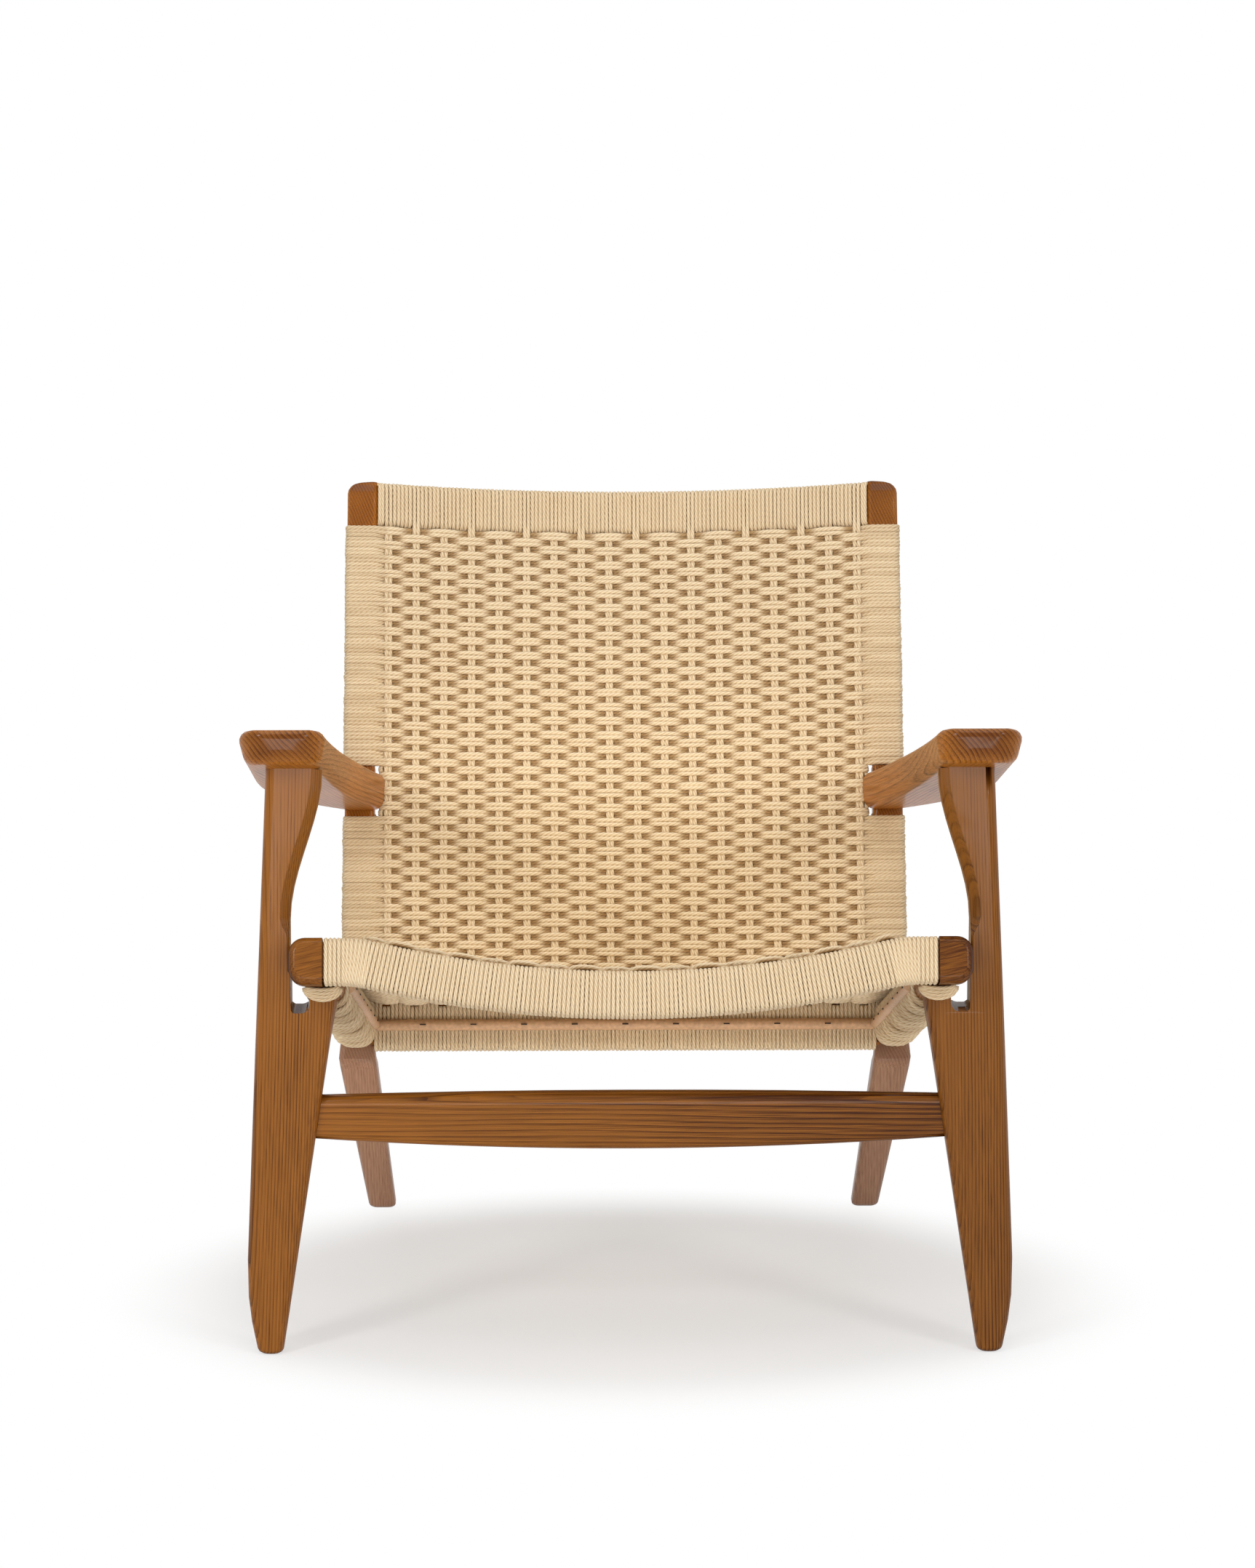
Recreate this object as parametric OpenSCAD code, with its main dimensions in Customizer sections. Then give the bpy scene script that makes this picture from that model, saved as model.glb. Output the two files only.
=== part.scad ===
// Low wooden armchair with a seat and a back woven in twisted paper cord.
// The chair faces -Y and stands on Z = 0. Left is -X and right is +X, as seen from the front.
// Lengths along Y are worked out from the front face of the front legs, and place() then
// centres the chair on the origin.

/* [Seat frame] */
// Slope of the seat down to the rear, in degrees
seat_slope = 19.1; // [16:0.1:22]
// Height of the side rails' centre lines at their front ends
seat_front_h = 367; // [350:1:385]
// Length of the side rails' centre lines
side_rail_len = 462; // [440:1:490]
// Width of the side rails
side_rail_w = 32; // [28:0.5:35]
// Height of the side rails, across their slope
side_rail_h = 38; // [34:0.5:42]
// Distance between the side rails' centre lines at the front
seat_front_w = 564; // [554:1:572]
// Distance between the side rails' centre lines at the rear
seat_rear_w = 532; // [526:1:538]
// Gap between the front rail and the front faces of the front legs
front_rail_gap = 10; // [7:0.5:14]

/* [Front rail] */
// Overhang of the front rail beyond each side rail's centre line
front_rail_over = 30.5; // [27:0.5:34]
// Height of the front rail at its bare ends
front_rail_h = 43; // [38:0.5:48]
// Depth of the front rail at its bare ends
front_rail_t = 32; // [28:0.5:38]
// Drop of the front rail's middle below its level ends
front_rail_dish = 31; // [22:1:36]
// Height of the front rail's ends above the side rails' centre lines
front_rail_rise = 9.6; // [7:0.2:12]
// Length of each bare end
front_rail_bare = 31; // [28:1:34]

/* [Rear rail] */
// Height of the rear rail over its winding
rear_rail_h = 52; // [48:0.5:58]
// Depth of the rear rail over its winding
rear_rail_t = 30; // [26:0.5:34]
// Gap between the rear rail and the uprights
rear_rail_gap = 3; // [2:0.5:6]

/* [Cord] */
// Diameter of the paper cord
cord_d = 3.8; // [3:0.1:4.4]

/* [Front legs] */
// Height of the leg's front face under the armrest
leg_h = 557; // [540:1:575]
// Distance from the side rail's centre line to the leg's outer edge at the top
leg_reach = 51; // [48:0.5:54]
// Width of the leg at the top
leg_top_w = 51; // [46:0.5:56]
// Outward splay of the leg's outer edge, in degrees
leg_splay = 2.72; // [2:0.02:3.4]
// Slope of the lower inner edge, in degrees
leg_taper = 8.9; // [8:0.1:9.4]
// Depth of the leg at the seat
leg_t = 40; // [36:0.5:44]
// Depth of the leg at the foot
leg_foot_t = 28; // [24:0.5:32]
// Depth of the leg at the top
leg_top_t = 32; // [28:0.5:36]
// Radius of the leg's long edges
leg_r = 9; // [6:0.5:11]
// Height at which the flare under the armrest starts
flare_start = 418; // [405:1:430]
// Width of the hollowed facet on the leg's inner edge, above the seat
facet_w = 9; // [6:0.5:11]
// Width of the slot beside the seat's side rail
slot_w = 17.6; // [14:0.2:20]
// Height of the slot's round bottom
slot_bottom = 328; // [320:1:333]
// Width of the short tine, which carries the side rail on its middle
tine_w = 25; // [22:0.5:27]
// Inward tuck of the outer edge at the foot
foot_tuck = 13.5; // [8:0.5:20]

/* [Rear legs] */
// Distance that each rear foot is set in from its upright
rear_foot_in = 21; // [14:0.5:28]
// Distance from the front legs' faces to the middle of the rear feet
rear_feet_y = 530; // [515:1:545]
// Width of a rear foot
rear_foot_w = 27; // [24:0.5:30]
// Depth of a rear foot
rear_foot_t = 25; // [22:0.5:28]
// Width of the rear leg at the knee
knee_w = 37; // [34:0.5:40]
// Height of the side rail's centre above the knee, along the upright
knee_drop = 42; // [38:0.5:48]

/* [Back] */
// Recline of the back, in degrees
back_recline = 21; // [18:0.1:24]
// Length of an upright above the knee
upright_len = 594; // [570:1:620]
// Width of an upright
upright_w = 30; // [27:0.5:33]
// Depth of an upright
upright_t = 28; // [25:0.5:31]
// Inward lean of each upright over its length
upright_lean = 3.5; // [0:0.5:8]
// Height of the top rail over its winding
top_rail_h = 46; // [40:0.5:52]
// Depth of the top and bottom rails over their windings
back_rail_t = 28; // [25:0.5:31]
// Backward bow of the top rail
top_rail_bow = 42; // [30:1:50]
// Height of the bottom rail over its winding
bottom_rail_h = 38; // [34:0.5:42]
// Height of the bottom rail's underside above the knee
bottom_rail_z = 49; // [46:0.5:54]
// Height of the gap in the weave at the armrest
notch_h = 52; // [48:0.5:58]
// Distance from the upright's inner face to the edge of the gap
notch_w = 13; // [11:0.5:15]

/* [Armrests] */
// Overhang of the nose in front of the front legs
arm_nose = 48; // [40:1:56]
// Width of the armrest near the front
arm_w = 82; // [76:1:88]
// Overhang of the armrest beyond the leg's outer edge
arm_overhang = 24.5; // [20:0.5:28]
// Thickness of the armrest over the front leg, measured upright
arm_t = 32.6; // [29:0.2:35]
// Height of the armrest's rear end on the upright
arm_end_h = 37; // [33:0.5:40]
// Width of the armrest's rear end
arm_end_w = 47; // [44:0.5:49]
// Height of the rear end's middle above the knee
arm_end_z = 275.5; // [268:0.5:284]

/* [Stretcher] */
// Height of the stretcher's middle line
stretcher_z = 225.5; // [215:0.5:240]
// Height of the stretcher at its ends
stretcher_h = 41; // [36:0.5:46]
// Extra height above and below at the middle
stretcher_swell = [3.5, 10.5];
// Depth of the stretcher
stretcher_t = 20; // [17:0.5:21]
// Radius of the stretcher's long edges
stretcher_r = 8.4; // [5:0.2:8.4]
// Diameter of the round tenons
tenon_d = 15; // [12:0.5:17]
// Depth of a tenon in the leg
tenon_in = 22; // [18:0.5:24]

/* [Joinery] */
// Diameter of the dowels in the front legs
dowel_d = 10; // [8:0.5:11]
// Diameter of the paired dowels in the rails
rail_dowel_d = 8; // [6:0.5:9]
// Distance between the two dowels of a pair
dowel_pitch = 17; // [15:0.5:19]
// Depth of a dowel in each piece
dowel_in = 16; // [13:0.5:16.5]
// Radial clearance of the dowels and tenons
dowel_gap = 0.1; // [0.05:0.05:0.2]
// Width of the half-round battens over the cord ends
batten_w = 11; // [9:0.5:13]
// Distance between staples
staple_pitch = 50; // [40:1:60]

/* [Hidden] */
$fn = 48;

// Circles in a section keep this many steps on a long arc.
round_steps = 48;
walnut = "saddlebrown";
straw = "burlywood";

// Long arcs are drawn with this many steps to a full turn.
arc_steps = 720;
// Points on each rounded corner of a lofted section, less one.
corner_steps = 4;
// Room that a cutting block has beyond what it cuts.
spare = 60;
// Radii of the long edges of the rails and of the uprights.
bar_r = 7;
upright_r = 5;

// Seat frame: origin at the front end of the side rails' centre lines, Y along the slope.
leg_bulge = (leg_t - leg_top_t) / 4;
seat_y = -leg_bulge - front_rail_gap;
seat_toe = atan((seat_front_w - seat_rear_w) / 2 / side_rail_len);
function seat_point(y, z) = [seat_y + y * cos(seat_slope) + z * sin(seat_slope),
    seat_front_h - y * sin(seat_slope) + z * cos(seat_slope)];

// Back frame: origin at the knee on the uprights' front faces, Z along the uprights.
rail_end = seat_point(side_rail_len, 0);
knee = [rail_end[0] - knee_drop * sin(back_recline), rail_end[1] - knee_drop * cos(back_recline)];
cant = atan(upright_lean / upright_len);
upright_x = seat_rear_w / 2;
function back_point(y, z) = [knee[0] + y * cos(back_recline) + z * sin(back_recline),
    knee[1] - y * sin(back_recline) + z * cos(back_recline)];

// Extent of the whole chair along Y, for centring it.
front_rail_low = front_rail_rise - front_rail_dish - front_rail_h / 2;
front_y = min(-arm_nose, seat_point(bar_r - front_rail_t, front_rail_low + bar_r)[0] - bar_r);
rear_y = back_point(top_rail_bow + back_rail_t - bar_r, upright_len - bar_r)[0] + bar_r;
centre_y = (front_y + rear_y) / 2;

module place() translate([0, -centre_y, 0]) children();
module seat_frame() translate([0, seat_y, seat_front_h]) rotate([-seat_slope, 0, 0]) children();
module back_frame() translate([0, knee[0], knee[1]]) rotate([-back_recline, 0, 0]) children();
module both_sides() { children(); mirror([1, 0, 0]) children(); }
module left_side() mirror([1, 0, 0]) children();

// ---- Lofted shapes -------------------------------------------------------------------------

function unit(v) = v / norm(v);
// Arc of points that rounds corner b, between its neighbours a and c.
function corner_arc(a, b, c, r) =
    let (u = unit(a - b), v = unit(c - b), half = acos(u * v) / 2,
        centre = b + unit(u + v) * r / sin(half), from = u * r / tan(half) - (centre - b),
        to = v * r / tan(half) - (centre - b), turn = 180 - 2 * half,
        side = sign(from[0] * to[1] - from[1] * to[0]))
    [for (i = [0:corner_steps]) let (a = side * turn * i / corner_steps)
        centre + [from[0] * cos(a) - from[1] * sin(a), from[0] * sin(a) + from[1] * cos(a)]];
// Closed outline of a polygon with rounded corners, one radius for each corner.
function rounded(poly, r) = let (n = len(poly))
    [for (i = [0:n - 1]) each corner_arc(poly[(i + n - 1) % n], poly[i], poly[(i + 1) % n], r[i])];
// The same outline with its first corner cut to a hollow facet, w along X and d along Y.
function faceted(poly, r, w, d) = let (from = poly[0] + [0, d], to = poly[0] + [w, 0])
    [for (i = [0:corner_steps]) let (t = i / corner_steps)
        mix(from, to, t) + facet_hollow * 4 * t * (1 - t) * [d, w] / norm([d, w]) * min(1, w / 4),
     each [for (i = [1:3]) each corner_arc(poly[i - 1], poly[i], poly[(i + 1) % 4], r[i])]];
function box_outline(x0, x1, y0, y1) = [[x0, y0], [x1, y0], [x1, y1], [x0, y1]];

// Section across a leg. Its outline's second coordinate runs from the front edge point
// to the rear edge point, both given as [y, z].
function leg_ring(front, rear, x0, x1, r, facet = [0, 0]) =
    let (t = norm(rear - front), along = (rear - front) / t, box = box_outline(x0, x1, 0, t))
    [for (p = facet[0] > 0 ? faceted(box, r, facet[0], facet[1]) : rounded(box, r))
        [p[0], front[0] + p[1] * along[0], front[1] + p[1] * along[1]]];

// Skin over a stack of rings that turn anticlockwise when seen from their far end.
module loft(rings) {
    n = len(rings[0]);
    m = len(rings);
    sides = [for (i = [0:m - 2]) for (j = [0:n - 1]) let (k = (j + 1) % n)
        each [[i * n + j, (i + 1) * n + j, (i + 1) * n + k], [i * n + j, (i + 1) * n + k, i * n + k]]];
    ends = [[for (j = [0:n - 1]) j], [for (j = [n - 1:-1:0]) (m - 1) * n + j]];
    polyhedron([for (r = rings) each r], concat(ends, sides), convexity = 6);
}

// Height lost at distance s from an end that is rounded with radius r.
function end_round(s, r) = s >= r ? 0 : r - sqrt(r * r - (r - s) * (r - s));
function smooth(t) = let (u = min(1, max(0, t))) u * u * (3 - 2 * u);
function mix(a, b, t) = a + (b - a) * t;

// ---- Bars and their windings ---------------------------------------------------------------

// Rounded rectangle about the origin, drawn with true arcs.
module bar_section(w, h, r) {
    square([w - 2 * r, h], center = true);
    square([w, h - 2 * r], center = true);
    for (x = [-1, 1], y = [-1, 1]) translate([x * (w / 2 - r), y * (h / 2 - r)])
        circle(r, $fn = round_steps);
}
// A wound bar is the section less one cord all round, and the rest is its winding.
module core_section(w, h) bar_section(w - 2 * cord_d, h - 2 * cord_d, bar_r - cord_d);
module wound_section(w, h) difference() {
    bar_section(w, h, bar_r);
    core_section(w, h);
}

// ---- Joinery -------------------------------------------------------------------------------

// A dowel stands along Z, half in each piece. Bores are wider and a little deeper.
bore_spare = 0.5;
module dowel(bore, d = dowel_d, depth = dowel_in)
    cylinder(d = d + (bore ? 2 * dowel_gap : 0), h = 2 * (depth + (bore ? bore_spare : 0)), center = true);
// Two dowels a pitch apart along Z or along X, both standing along Z or both lying along Y or X.
module dowel_pair(bore, step, turn, d = rail_dowel_d, depth = dowel_in) for (side = [-1, 1])
    translate(side * dowel_pitch / 2 * step) rotate(turn) dowel(bore, d, depth);

// ---- Front legs ----------------------------------------------------------------------------

leg_mid_y = leg_t / 2 - leg_bulge;
leg_top_x = seat_front_w / 2 + leg_reach;
// The tine stands under the middle of the side rail.
leg_seat_x = (seat_front_w - tine_w) / 2;
arm_rear = back_point(0, arm_end_z);
under_slope = (leg_h - (arm_rear[1] - arm_end_h / 2 * cos(back_recline)))
    / (arm_rear[0] - arm_end_h / 2 * sin(back_recline));
tine_top = seat_front_h + tan(seat_slope) * seat_y - side_rail_h / 2 / cos(seat_slope);
// The leg is lofted this far above the short tine, before the tine's top is cut.
tine_rise = 12;
foot_r = 5;
tuck_h = 90;
// The facet opens over this length, just below the flare, and is this deep from front to rear.
facet_run = 18;
facet_stop = flare_start - facet_run - 2;
facet_d = 14;
facet_hollow = 1.2;
slot_x = leg_seat_x + tine_w + slot_w / 2;
// Radius of the slot's outer bottom corner; the inner one is half as wide as the slot.
slot_r = 4;

function leg_outer(z) = leg_top_x + (leg_h - z) * tan(leg_splay)
    - (z < tuck_h ? foot_tuck * pow(1 - z / tuck_h, 2) : 0);
function leg_inner_low(z) = leg_seat_x + (tine_top - z) * tan(leg_taper);
function leg_inner_high(z) = mix(slot_x + slot_w / 2 + 0.4, leg_top_x - leg_top_w,
    smooth((z - flare_start) / (leg_h - flare_start)));
function leg_depth(z) = z < tine_top ? mix(leg_foot_t, leg_t, smooth(z / tine_top))
    : mix(leg_t, leg_top_t, smooth((z - tine_top) / (leg_h - tine_top)));

// Ring at height z of the leg's middle plane; slope tilts it down to the rear.
function front_leg_ring(z, slope, high, round = 0) =
    let (t = leg_depth(z), y0 = leg_mid_y - t / 2 + round, y1 = leg_mid_y + t / 2 - round,
        x0 = (high ? leg_inner_high(z) : leg_inner_low(z)) + round,
        open = smooth((z - facet_stop) / facet_run), r = max(1, leg_r - round * 0.6))
    leg_ring([y0, z - y0 * slope], [y1, z - y1 * slope], x0, leg_outer(z) - round,
        [r, r, r, high ? leg_r / 2 : r], high ? [mix(2, facet_w, open), mix(2, facet_d, open)] : [0, 0]);

module front_leg() color(walnut) place() difference() {
    loft([
        for (s = [0, 0.1, 0.35, 0.65, 1] * foot_r) front_leg_ring(s, 0, false, end_round(s, foot_r)),
        for (t = [0.33, 0.6]) front_leg_ring(t * tuck_h, 0, false),
        for (t = [0, 0.25, 0.5, 0.7, 0.85]) front_leg_ring(mix(tuck_h, slot_bottom, t), 0, false),
        front_leg_ring(slot_bottom - 2, under_slope / 2, false),
        front_leg_ring(tine_top + tine_rise, under_slope, false),
        front_leg_ring(tine_top + 2 * tine_rise, under_slope, true),
        for (t = [0, 0.25, 0.5, 0.75]) front_leg_ring(facet_stop + t * facet_run, under_slope, true),
        for (i = [0:9]) front_leg_ring(mix(flare_start, leg_h, i / 9), under_slope, true)
    ]);
    // The slot is open at the top, beside the side rail, which rests on the short tine.
    translate([slot_x, -spare, slot_bottom + slot_w / 2]) rotate([-90, 0, 0]) {
        cylinder(d = slot_w, h = 3 * spare);
        translate([0, 0, 0]) cube([slot_w / 2, slot_w / 2 - slot_r, 3 * spare]);
        cube([slot_w / 2 - slot_r, slot_w / 2, 3 * spare]);
        translate([slot_w / 2 - slot_r, slot_w / 2 - slot_r, 0]) cylinder(r = slot_r, h = 3 * spare);
        translate([-slot_w / 2, -spare / 2, 0]) cube([slot_w, spare / 2, 3 * spare]);
    }
    seat_frame() translate([0, -spare / 2, -side_rail_h / 2])
        cube([slot_x + slot_w / 2, 3 * spare, spare]);
    stretcher_tenon(true);
    leg_rail_dowel(true);
    armrest_front_dowel(true);
}

// ---- Front stretcher -----------------------------------------------------------------------

stretcher_y = leg_mid_y;
function stretcher_ring(t) =
    let (swell = 1 - t * t, z0 = stretcher_z - stretcher_h / 2 - stretcher_swell[1] * swell,
        z1 = stretcher_z + stretcher_h / 2 + stretcher_swell[0] * swell, r = stretcher_r)
    [for (p = rounded(box_outline(stretcher_y - stretcher_t / 2, stretcher_y + stretcher_t / 2,
        z0, z1), [r, r, r, r])) [t * leg_inner_low(p[1]), p[0], p[1]]];

// The tenon starts inside the stretcher, behind its slanted end.
tenon_root = 4;
module stretcher_tenon(bore)
    translate([leg_inner_low(stretcher_z) - tenon_root, stretcher_y, stretcher_z]) rotate([0, 90, 0])
        cylinder(d = tenon_d + (bore ? 2 * dowel_gap : 0),
            h = tenon_root + tenon_in + (bore ? bore_spare : 0));

module front_stretcher() color(walnut) place() {
    loft([for (i = [-8:8]) stretcher_ring(i / 8)]);
    both_sides() stretcher_tenon(false);
}

// ---- Seat rails ----------------------------------------------------------------------------

// The side rails' inner faces, as a distance from the middle at Y along the slope.
function rail_inner_x(y) = seat_front_w / 2 - side_rail_w / 2 / cos(seat_toe) - y * tan(seat_toe);
lean = back_recline - seat_slope;
rear_rail_y = side_rail_len - rear_rail_gap - rear_rail_t;
rear_rail_z = side_rail_h / 2 + cord_d - rear_rail_h / 2;

// Room between the front rail and the back, seen from the side.
module rail_room() translate([-2 * seat_front_w, 0, 0]) rotate([90, 0, 90])
    linear_extrude(4 * seat_front_w) polygon([[0, -spare], [side_rail_len - spare * tan(lean), -spare],
        [side_rail_len + spare * tan(lean), spare], [0, spare]]);
// Room between the side rails, less a margin on each side, seen from above.
module seat_room(margin = 0) translate([0, 0, -spare]) linear_extrude(2 * spare)
    polygon([for (p = [[1, 0], [1, side_rail_len], [-1, side_rail_len], [-1, 0]])
        [p[0] * (rail_inner_x(p[1]) - margin), p[1]]]);

// Section of a side rail, with its rounder underside at +Y.
belly_r = 12;
module side_section(grow) {
    w = side_rail_w / 2 + grow;
    h = side_rail_h / 2 + grow;
    square(2 * [w - belly_r - grow, h], center = true);
    translate([-w, bar_r + grow - h]) square([2 * w, 2 * h - bar_r - belly_r - 2 * grow]);
    for (x = [-1, 1]) {
        translate([x * (w - bar_r - grow), bar_r + grow - h]) circle(bar_r + grow, $fn = round_steps);
        translate([x * (w - belly_r - grow), h - belly_r - grow]) circle(belly_r + grow, $fn = round_steps);
    }
    translate([bar_r + grow - w, -h]) square([2 * (w - bar_r - grow), bar_r + grow]);
}
// A length of side rail between two places along it, grown by a cord where it is wound.
module side_bar(y0, y1, grow = 0) translate([seat_front_w / 2, 0, 0]) rotate([0, 0, seat_toe])
    translate([0, y0, 0]) rotate([-90, 0, 0]) linear_extrude(y1 - y0) side_section(grow);

module seat_side_rail() color(walnut) place() difference() {
    seat_frame() intersection() {
        side_bar(-spare, side_rail_len + spare);
        rail_room();
    }
    front_rail_dowel(true);
    leg_rail_dowel(true);
    side_rail_dowel(true);
    rear_rail_dowel(true);
}

// The winding leaves the side rail bare where it sits in the front leg.
leg_clear = 2;
bare_from = (leg_mid_y - leg_t / 2 - seat_y - side_rail_h / 2 * sin(seat_slope)) / cos(seat_slope)
    - leg_clear;
bare_to = (leg_mid_y + leg_t / 2 - seat_y + (side_rail_h / 2 + cord_d) * sin(seat_slope))
    / cos(seat_slope) + leg_clear;
module seat_side_winding() color(straw) place() seat_frame() difference() {
    intersection() {
        union() {
            side_bar(-spare, bare_from, cord_d);
            side_bar(bare_to, side_rail_len + spare, cord_d);
        }
        rail_room();
    }
    side_bar(-2 * spare, side_rail_len + 2 * spare);
    rear_core();
}

module rear_bar() translate([-spare * 5, rear_rail_y + rear_rail_t / 2, rear_rail_z])
    rotate([90, 0, 90]) linear_extrude(spare * 10) children();
module rear_core() rear_bar() core_section(rear_rail_t, rear_rail_h);
module seat_rear_rail() color(walnut) place() difference() {
    seat_frame() intersection() {
        rear_core();
        seat_room();
    }
    both_sides() rear_rail_dowel(true);
}
module seat_rear_winding() color(straw) place() seat_frame() intersection() {
    rear_bar() wound_section(rear_rail_t, rear_rail_h);
    seat_room(cord_d);
}

// The front rail dips in the middle in a shallow arc, which turns level near the side rails.
front_rail_len = seat_front_w + 2 * front_rail_over;
wound_x = front_rail_len / 2 - front_rail_bare;
level_x = rail_inner_x(0) - 4;
level_r = 100;
dish_turn = 2 * atan(front_rail_dish / level_x);
dish_r = level_x / sin(dish_turn) - level_r;
dish_mid_z = front_rail_rise - front_rail_dish;
// Height of the rail's centre line at distance x from the middle.
function dish_z(x) = let (d = abs(x))
    d < dish_r * sin(dish_turn) ? dish_mid_z + dish_r - sqrt(dish_r * dish_r - d * d)
    : d < level_x ? front_rail_rise - level_r + sqrt(level_r * level_r - pow(level_x - d, 2))
    : front_rail_rise;
// Lean of a section there, square to the centre line.
function dish_lean(x) = let (d = abs(x)) sign(x) * (d < dish_r * sin(dish_turn) ? asin(d / dish_r)
    : d < level_x ? asin((level_x - d) / level_r) : 0);
function dish_ring(x, t, h, r) = let (a = dish_lean(x))
    [for (p = rounded(box_outline(-t / 2, t / 2, -h / 2, h / 2), [r, r, r, r]))
        [x - p[1] * sin(a), p[0] - front_rail_t / 2, dish_z(x) + p[1] * cos(a)]];
dish_steps = 8;
dish_places = [for (i = [0:dish_steps - 1]) dish_r * sin(dish_turn * i / dish_steps),
    each [for (i = [3:-1:0]) level_x - level_r * sin(dish_turn * i / 3)], wound_x];
// The wound part of the rail, less a margin all round.
module dish_bar(margin = 0) loft([for (x = [for (i = [len(dish_places) - 1:-1:1]) -dish_places[i],
    each dish_places]) dish_ring(x, front_rail_t - 2 * margin, front_rail_h - 2 * margin, bar_r - margin)]);

// Bare end of the front rail, with rounded corners, hulled to the end of the wound part.
rail_end_r = 15;
module front_rail_end() translate([0, -front_rail_t / 2, front_rail_rise]) hull() {
    translate([wound_x, 0, 0]) rotate([90, 0, 90]) linear_extrude(0.1)
        bar_section(front_rail_t, front_rail_h, bar_r);
    for (side = [-1, 1]) translate([front_rail_len / 2 - rail_end_r, 0, side * (front_rail_h / 2 - rail_end_r)])
        rotate([90, 0, 0]) {
            cylinder(r = rail_end_r - bar_r, h = front_rail_t, center = true, $fn = 32);
            cylinder(r = rail_end_r - 0.3 * bar_r, h = front_rail_t - bar_r, center = true, $fn = 32);
            cylinder(r = rail_end_r, h = front_rail_t - 2 * bar_r, center = true, $fn = 32);
        }
}

module seat_front_rail() color(walnut) place() difference() {
    seat_frame() {
        dish_bar(cord_d);
        both_sides() front_rail_end();
    }
    both_sides() front_rail_dowel(true);
}
module seat_front_winding() color(straw) place() seat_frame() difference() {
    dish_bar();
    dish_bar(cord_d);
}

// ---- Seat weave ----------------------------------------------------------------------------

// A ruled sheet, two cords thick, from the dished front rail to the straight rear rail.
// It laps over the rounded edges of the wound rails, as the cords do.
weave_lap = bar_r;
function seat_weave_z(x, t) = mix(dish_z(x) + front_rail_h / 2 - cord_d, side_rail_h / 2, t);
module seat_weave() color(straw) place() seat_frame() difference() {
    sheet(20, 4, function (u, v) let (y = mix(-weave_lap, rear_rail_y + weave_lap, v),
        x = (2 * u - 1) * (rail_inner_x(y) - cord_d + weave_lap)) [x, y, seat_weave_z(x, y / rear_rail_y)],
        [0, 0, cord_d]);
    dish_bar();
    rear_bar() bar_section(rear_rail_t, rear_rail_h, bar_r);
    both_sides() side_bar(-spare, side_rail_len + spare, cord_d);
}

// Closed sheet over a grid: at(u, v) gives its middle and half its thickness is a vector.
module sheet(columns, rows, at, half) {
    n = columns + 1;
    size = n * (rows + 1);
    grid = [for (j = [0:rows]) for (i = [0:columns]) at(i / columns, j / rows)];
    cell = function (i, j) j * n + i;
    edge = concat([for (i = [0:columns]) cell(i, 0)], [for (j = [1:rows]) cell(columns, j)],
        [for (i = [columns - 1:-1:0]) cell(i, rows)], [for (j = [rows - 1:-1:1]) cell(0, j)]);
    polyhedron(concat([for (p = grid) p - half], [for (p = grid) p + half]), concat(
        [for (j = [0:rows - 1]) for (i = [0:columns - 1]) each [
            [cell(i, j), cell(i + 1, j), cell(i + 1, j + 1)],
            [cell(i, j), cell(i + 1, j + 1), cell(i, j + 1)]]],
        [for (j = [0:rows - 1]) for (i = [0:columns - 1]) each [
            [size + cell(i, j), size + cell(i + 1, j + 1), size + cell(i + 1, j)],
            [size + cell(i, j), size + cell(i, j + 1), size + cell(i + 1, j + 1)]]],
        [for (k = [0:len(edge) - 1]) let (a = edge[k], b = edge[(k + 1) % len(edge)]) each [
            [a, size + a, size + b], [a, size + b, b]]]), convexity = 6);
}

// ---- Rear legs with the back's uprights ------------------------------------------------------

function rear_leg_x(z) = upright_x - mix(rear_foot_in, 1, z / knee[1]);
// The rings turn from across the leg to across the upright round the knee.
knee_rise = 14;
knee_blend = 45;
rake_r = 7;
knee_front = back_point(0, 0);
knee_rear = back_point(upright_t, knee_rise);
foot_front = [rear_feet_y - rear_foot_t / 2, 0];
foot_rear = [rear_feet_y + rear_foot_t / 2, 0];

// Ring across the raking lower leg, a share t of the way up from the foot to the knee.
function rake_ring(t, round = 0) =
    let (front = mix(foot_front, knee_front, t) + [round, 0],
        rear = mix(foot_rear, knee_rear, t) - [round, 0],
        x = rear_leg_x((front[1] + rear[1]) / 2), w = mix(rear_foot_w, knee_w, t) - 2 * round,
        r = max(1, rake_r - round * 0.6))
    leg_ring(front, rear, x - w / 2, x + w / 2, [r, r, r, r]);
// Ring across the upright at height z above the knee.
function upright_ring(z, round = 0) =
    let (x = upright_x - z * tan(cant), blend = smooth(z / knee_blend), w = mix(knee_w, upright_w, blend),
        in = min(round, 3), outer_r = max(upright_r, round))
    leg_ring(back_point(in, z), back_point(upright_t - in, z + (1 - blend) * knee_rise / 2),
        x - w / 2, x + w / 2 - round, [upright_r, outer_r, outer_r, upright_r]);

// The upright's outer top corner is rounded.
top_r = 12;
// Depth of the rebates for the cords.
rebate = 2.5;
module rear_leg() color(walnut) place() difference() {
    loft([
        for (s = [0, 0.1, 0.35, 0.65, 1] * foot_r) rake_ring(s / knee[1], end_round(s, foot_r)),
        for (t = [0.1, 0.25, 0.45, 0.65, 0.85, 0.97]) rake_ring(t),
        for (t = [0.15, 0.45, 0.7, 1, 2]) upright_ring(t * knee_blend),
        upright_ring(upright_len / 2),
        for (s = [2, 1, 0.65, 0.35, 0.15, 0.04, 0] * top_r) upright_ring(upright_len - s, end_round(s, top_r))
    ]);
    upright_ring_space(cord_d);
    side_rail_dowel(true);
    armrest_rear_dowel(true);
    back_rail_dowel(true);
}

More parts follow.
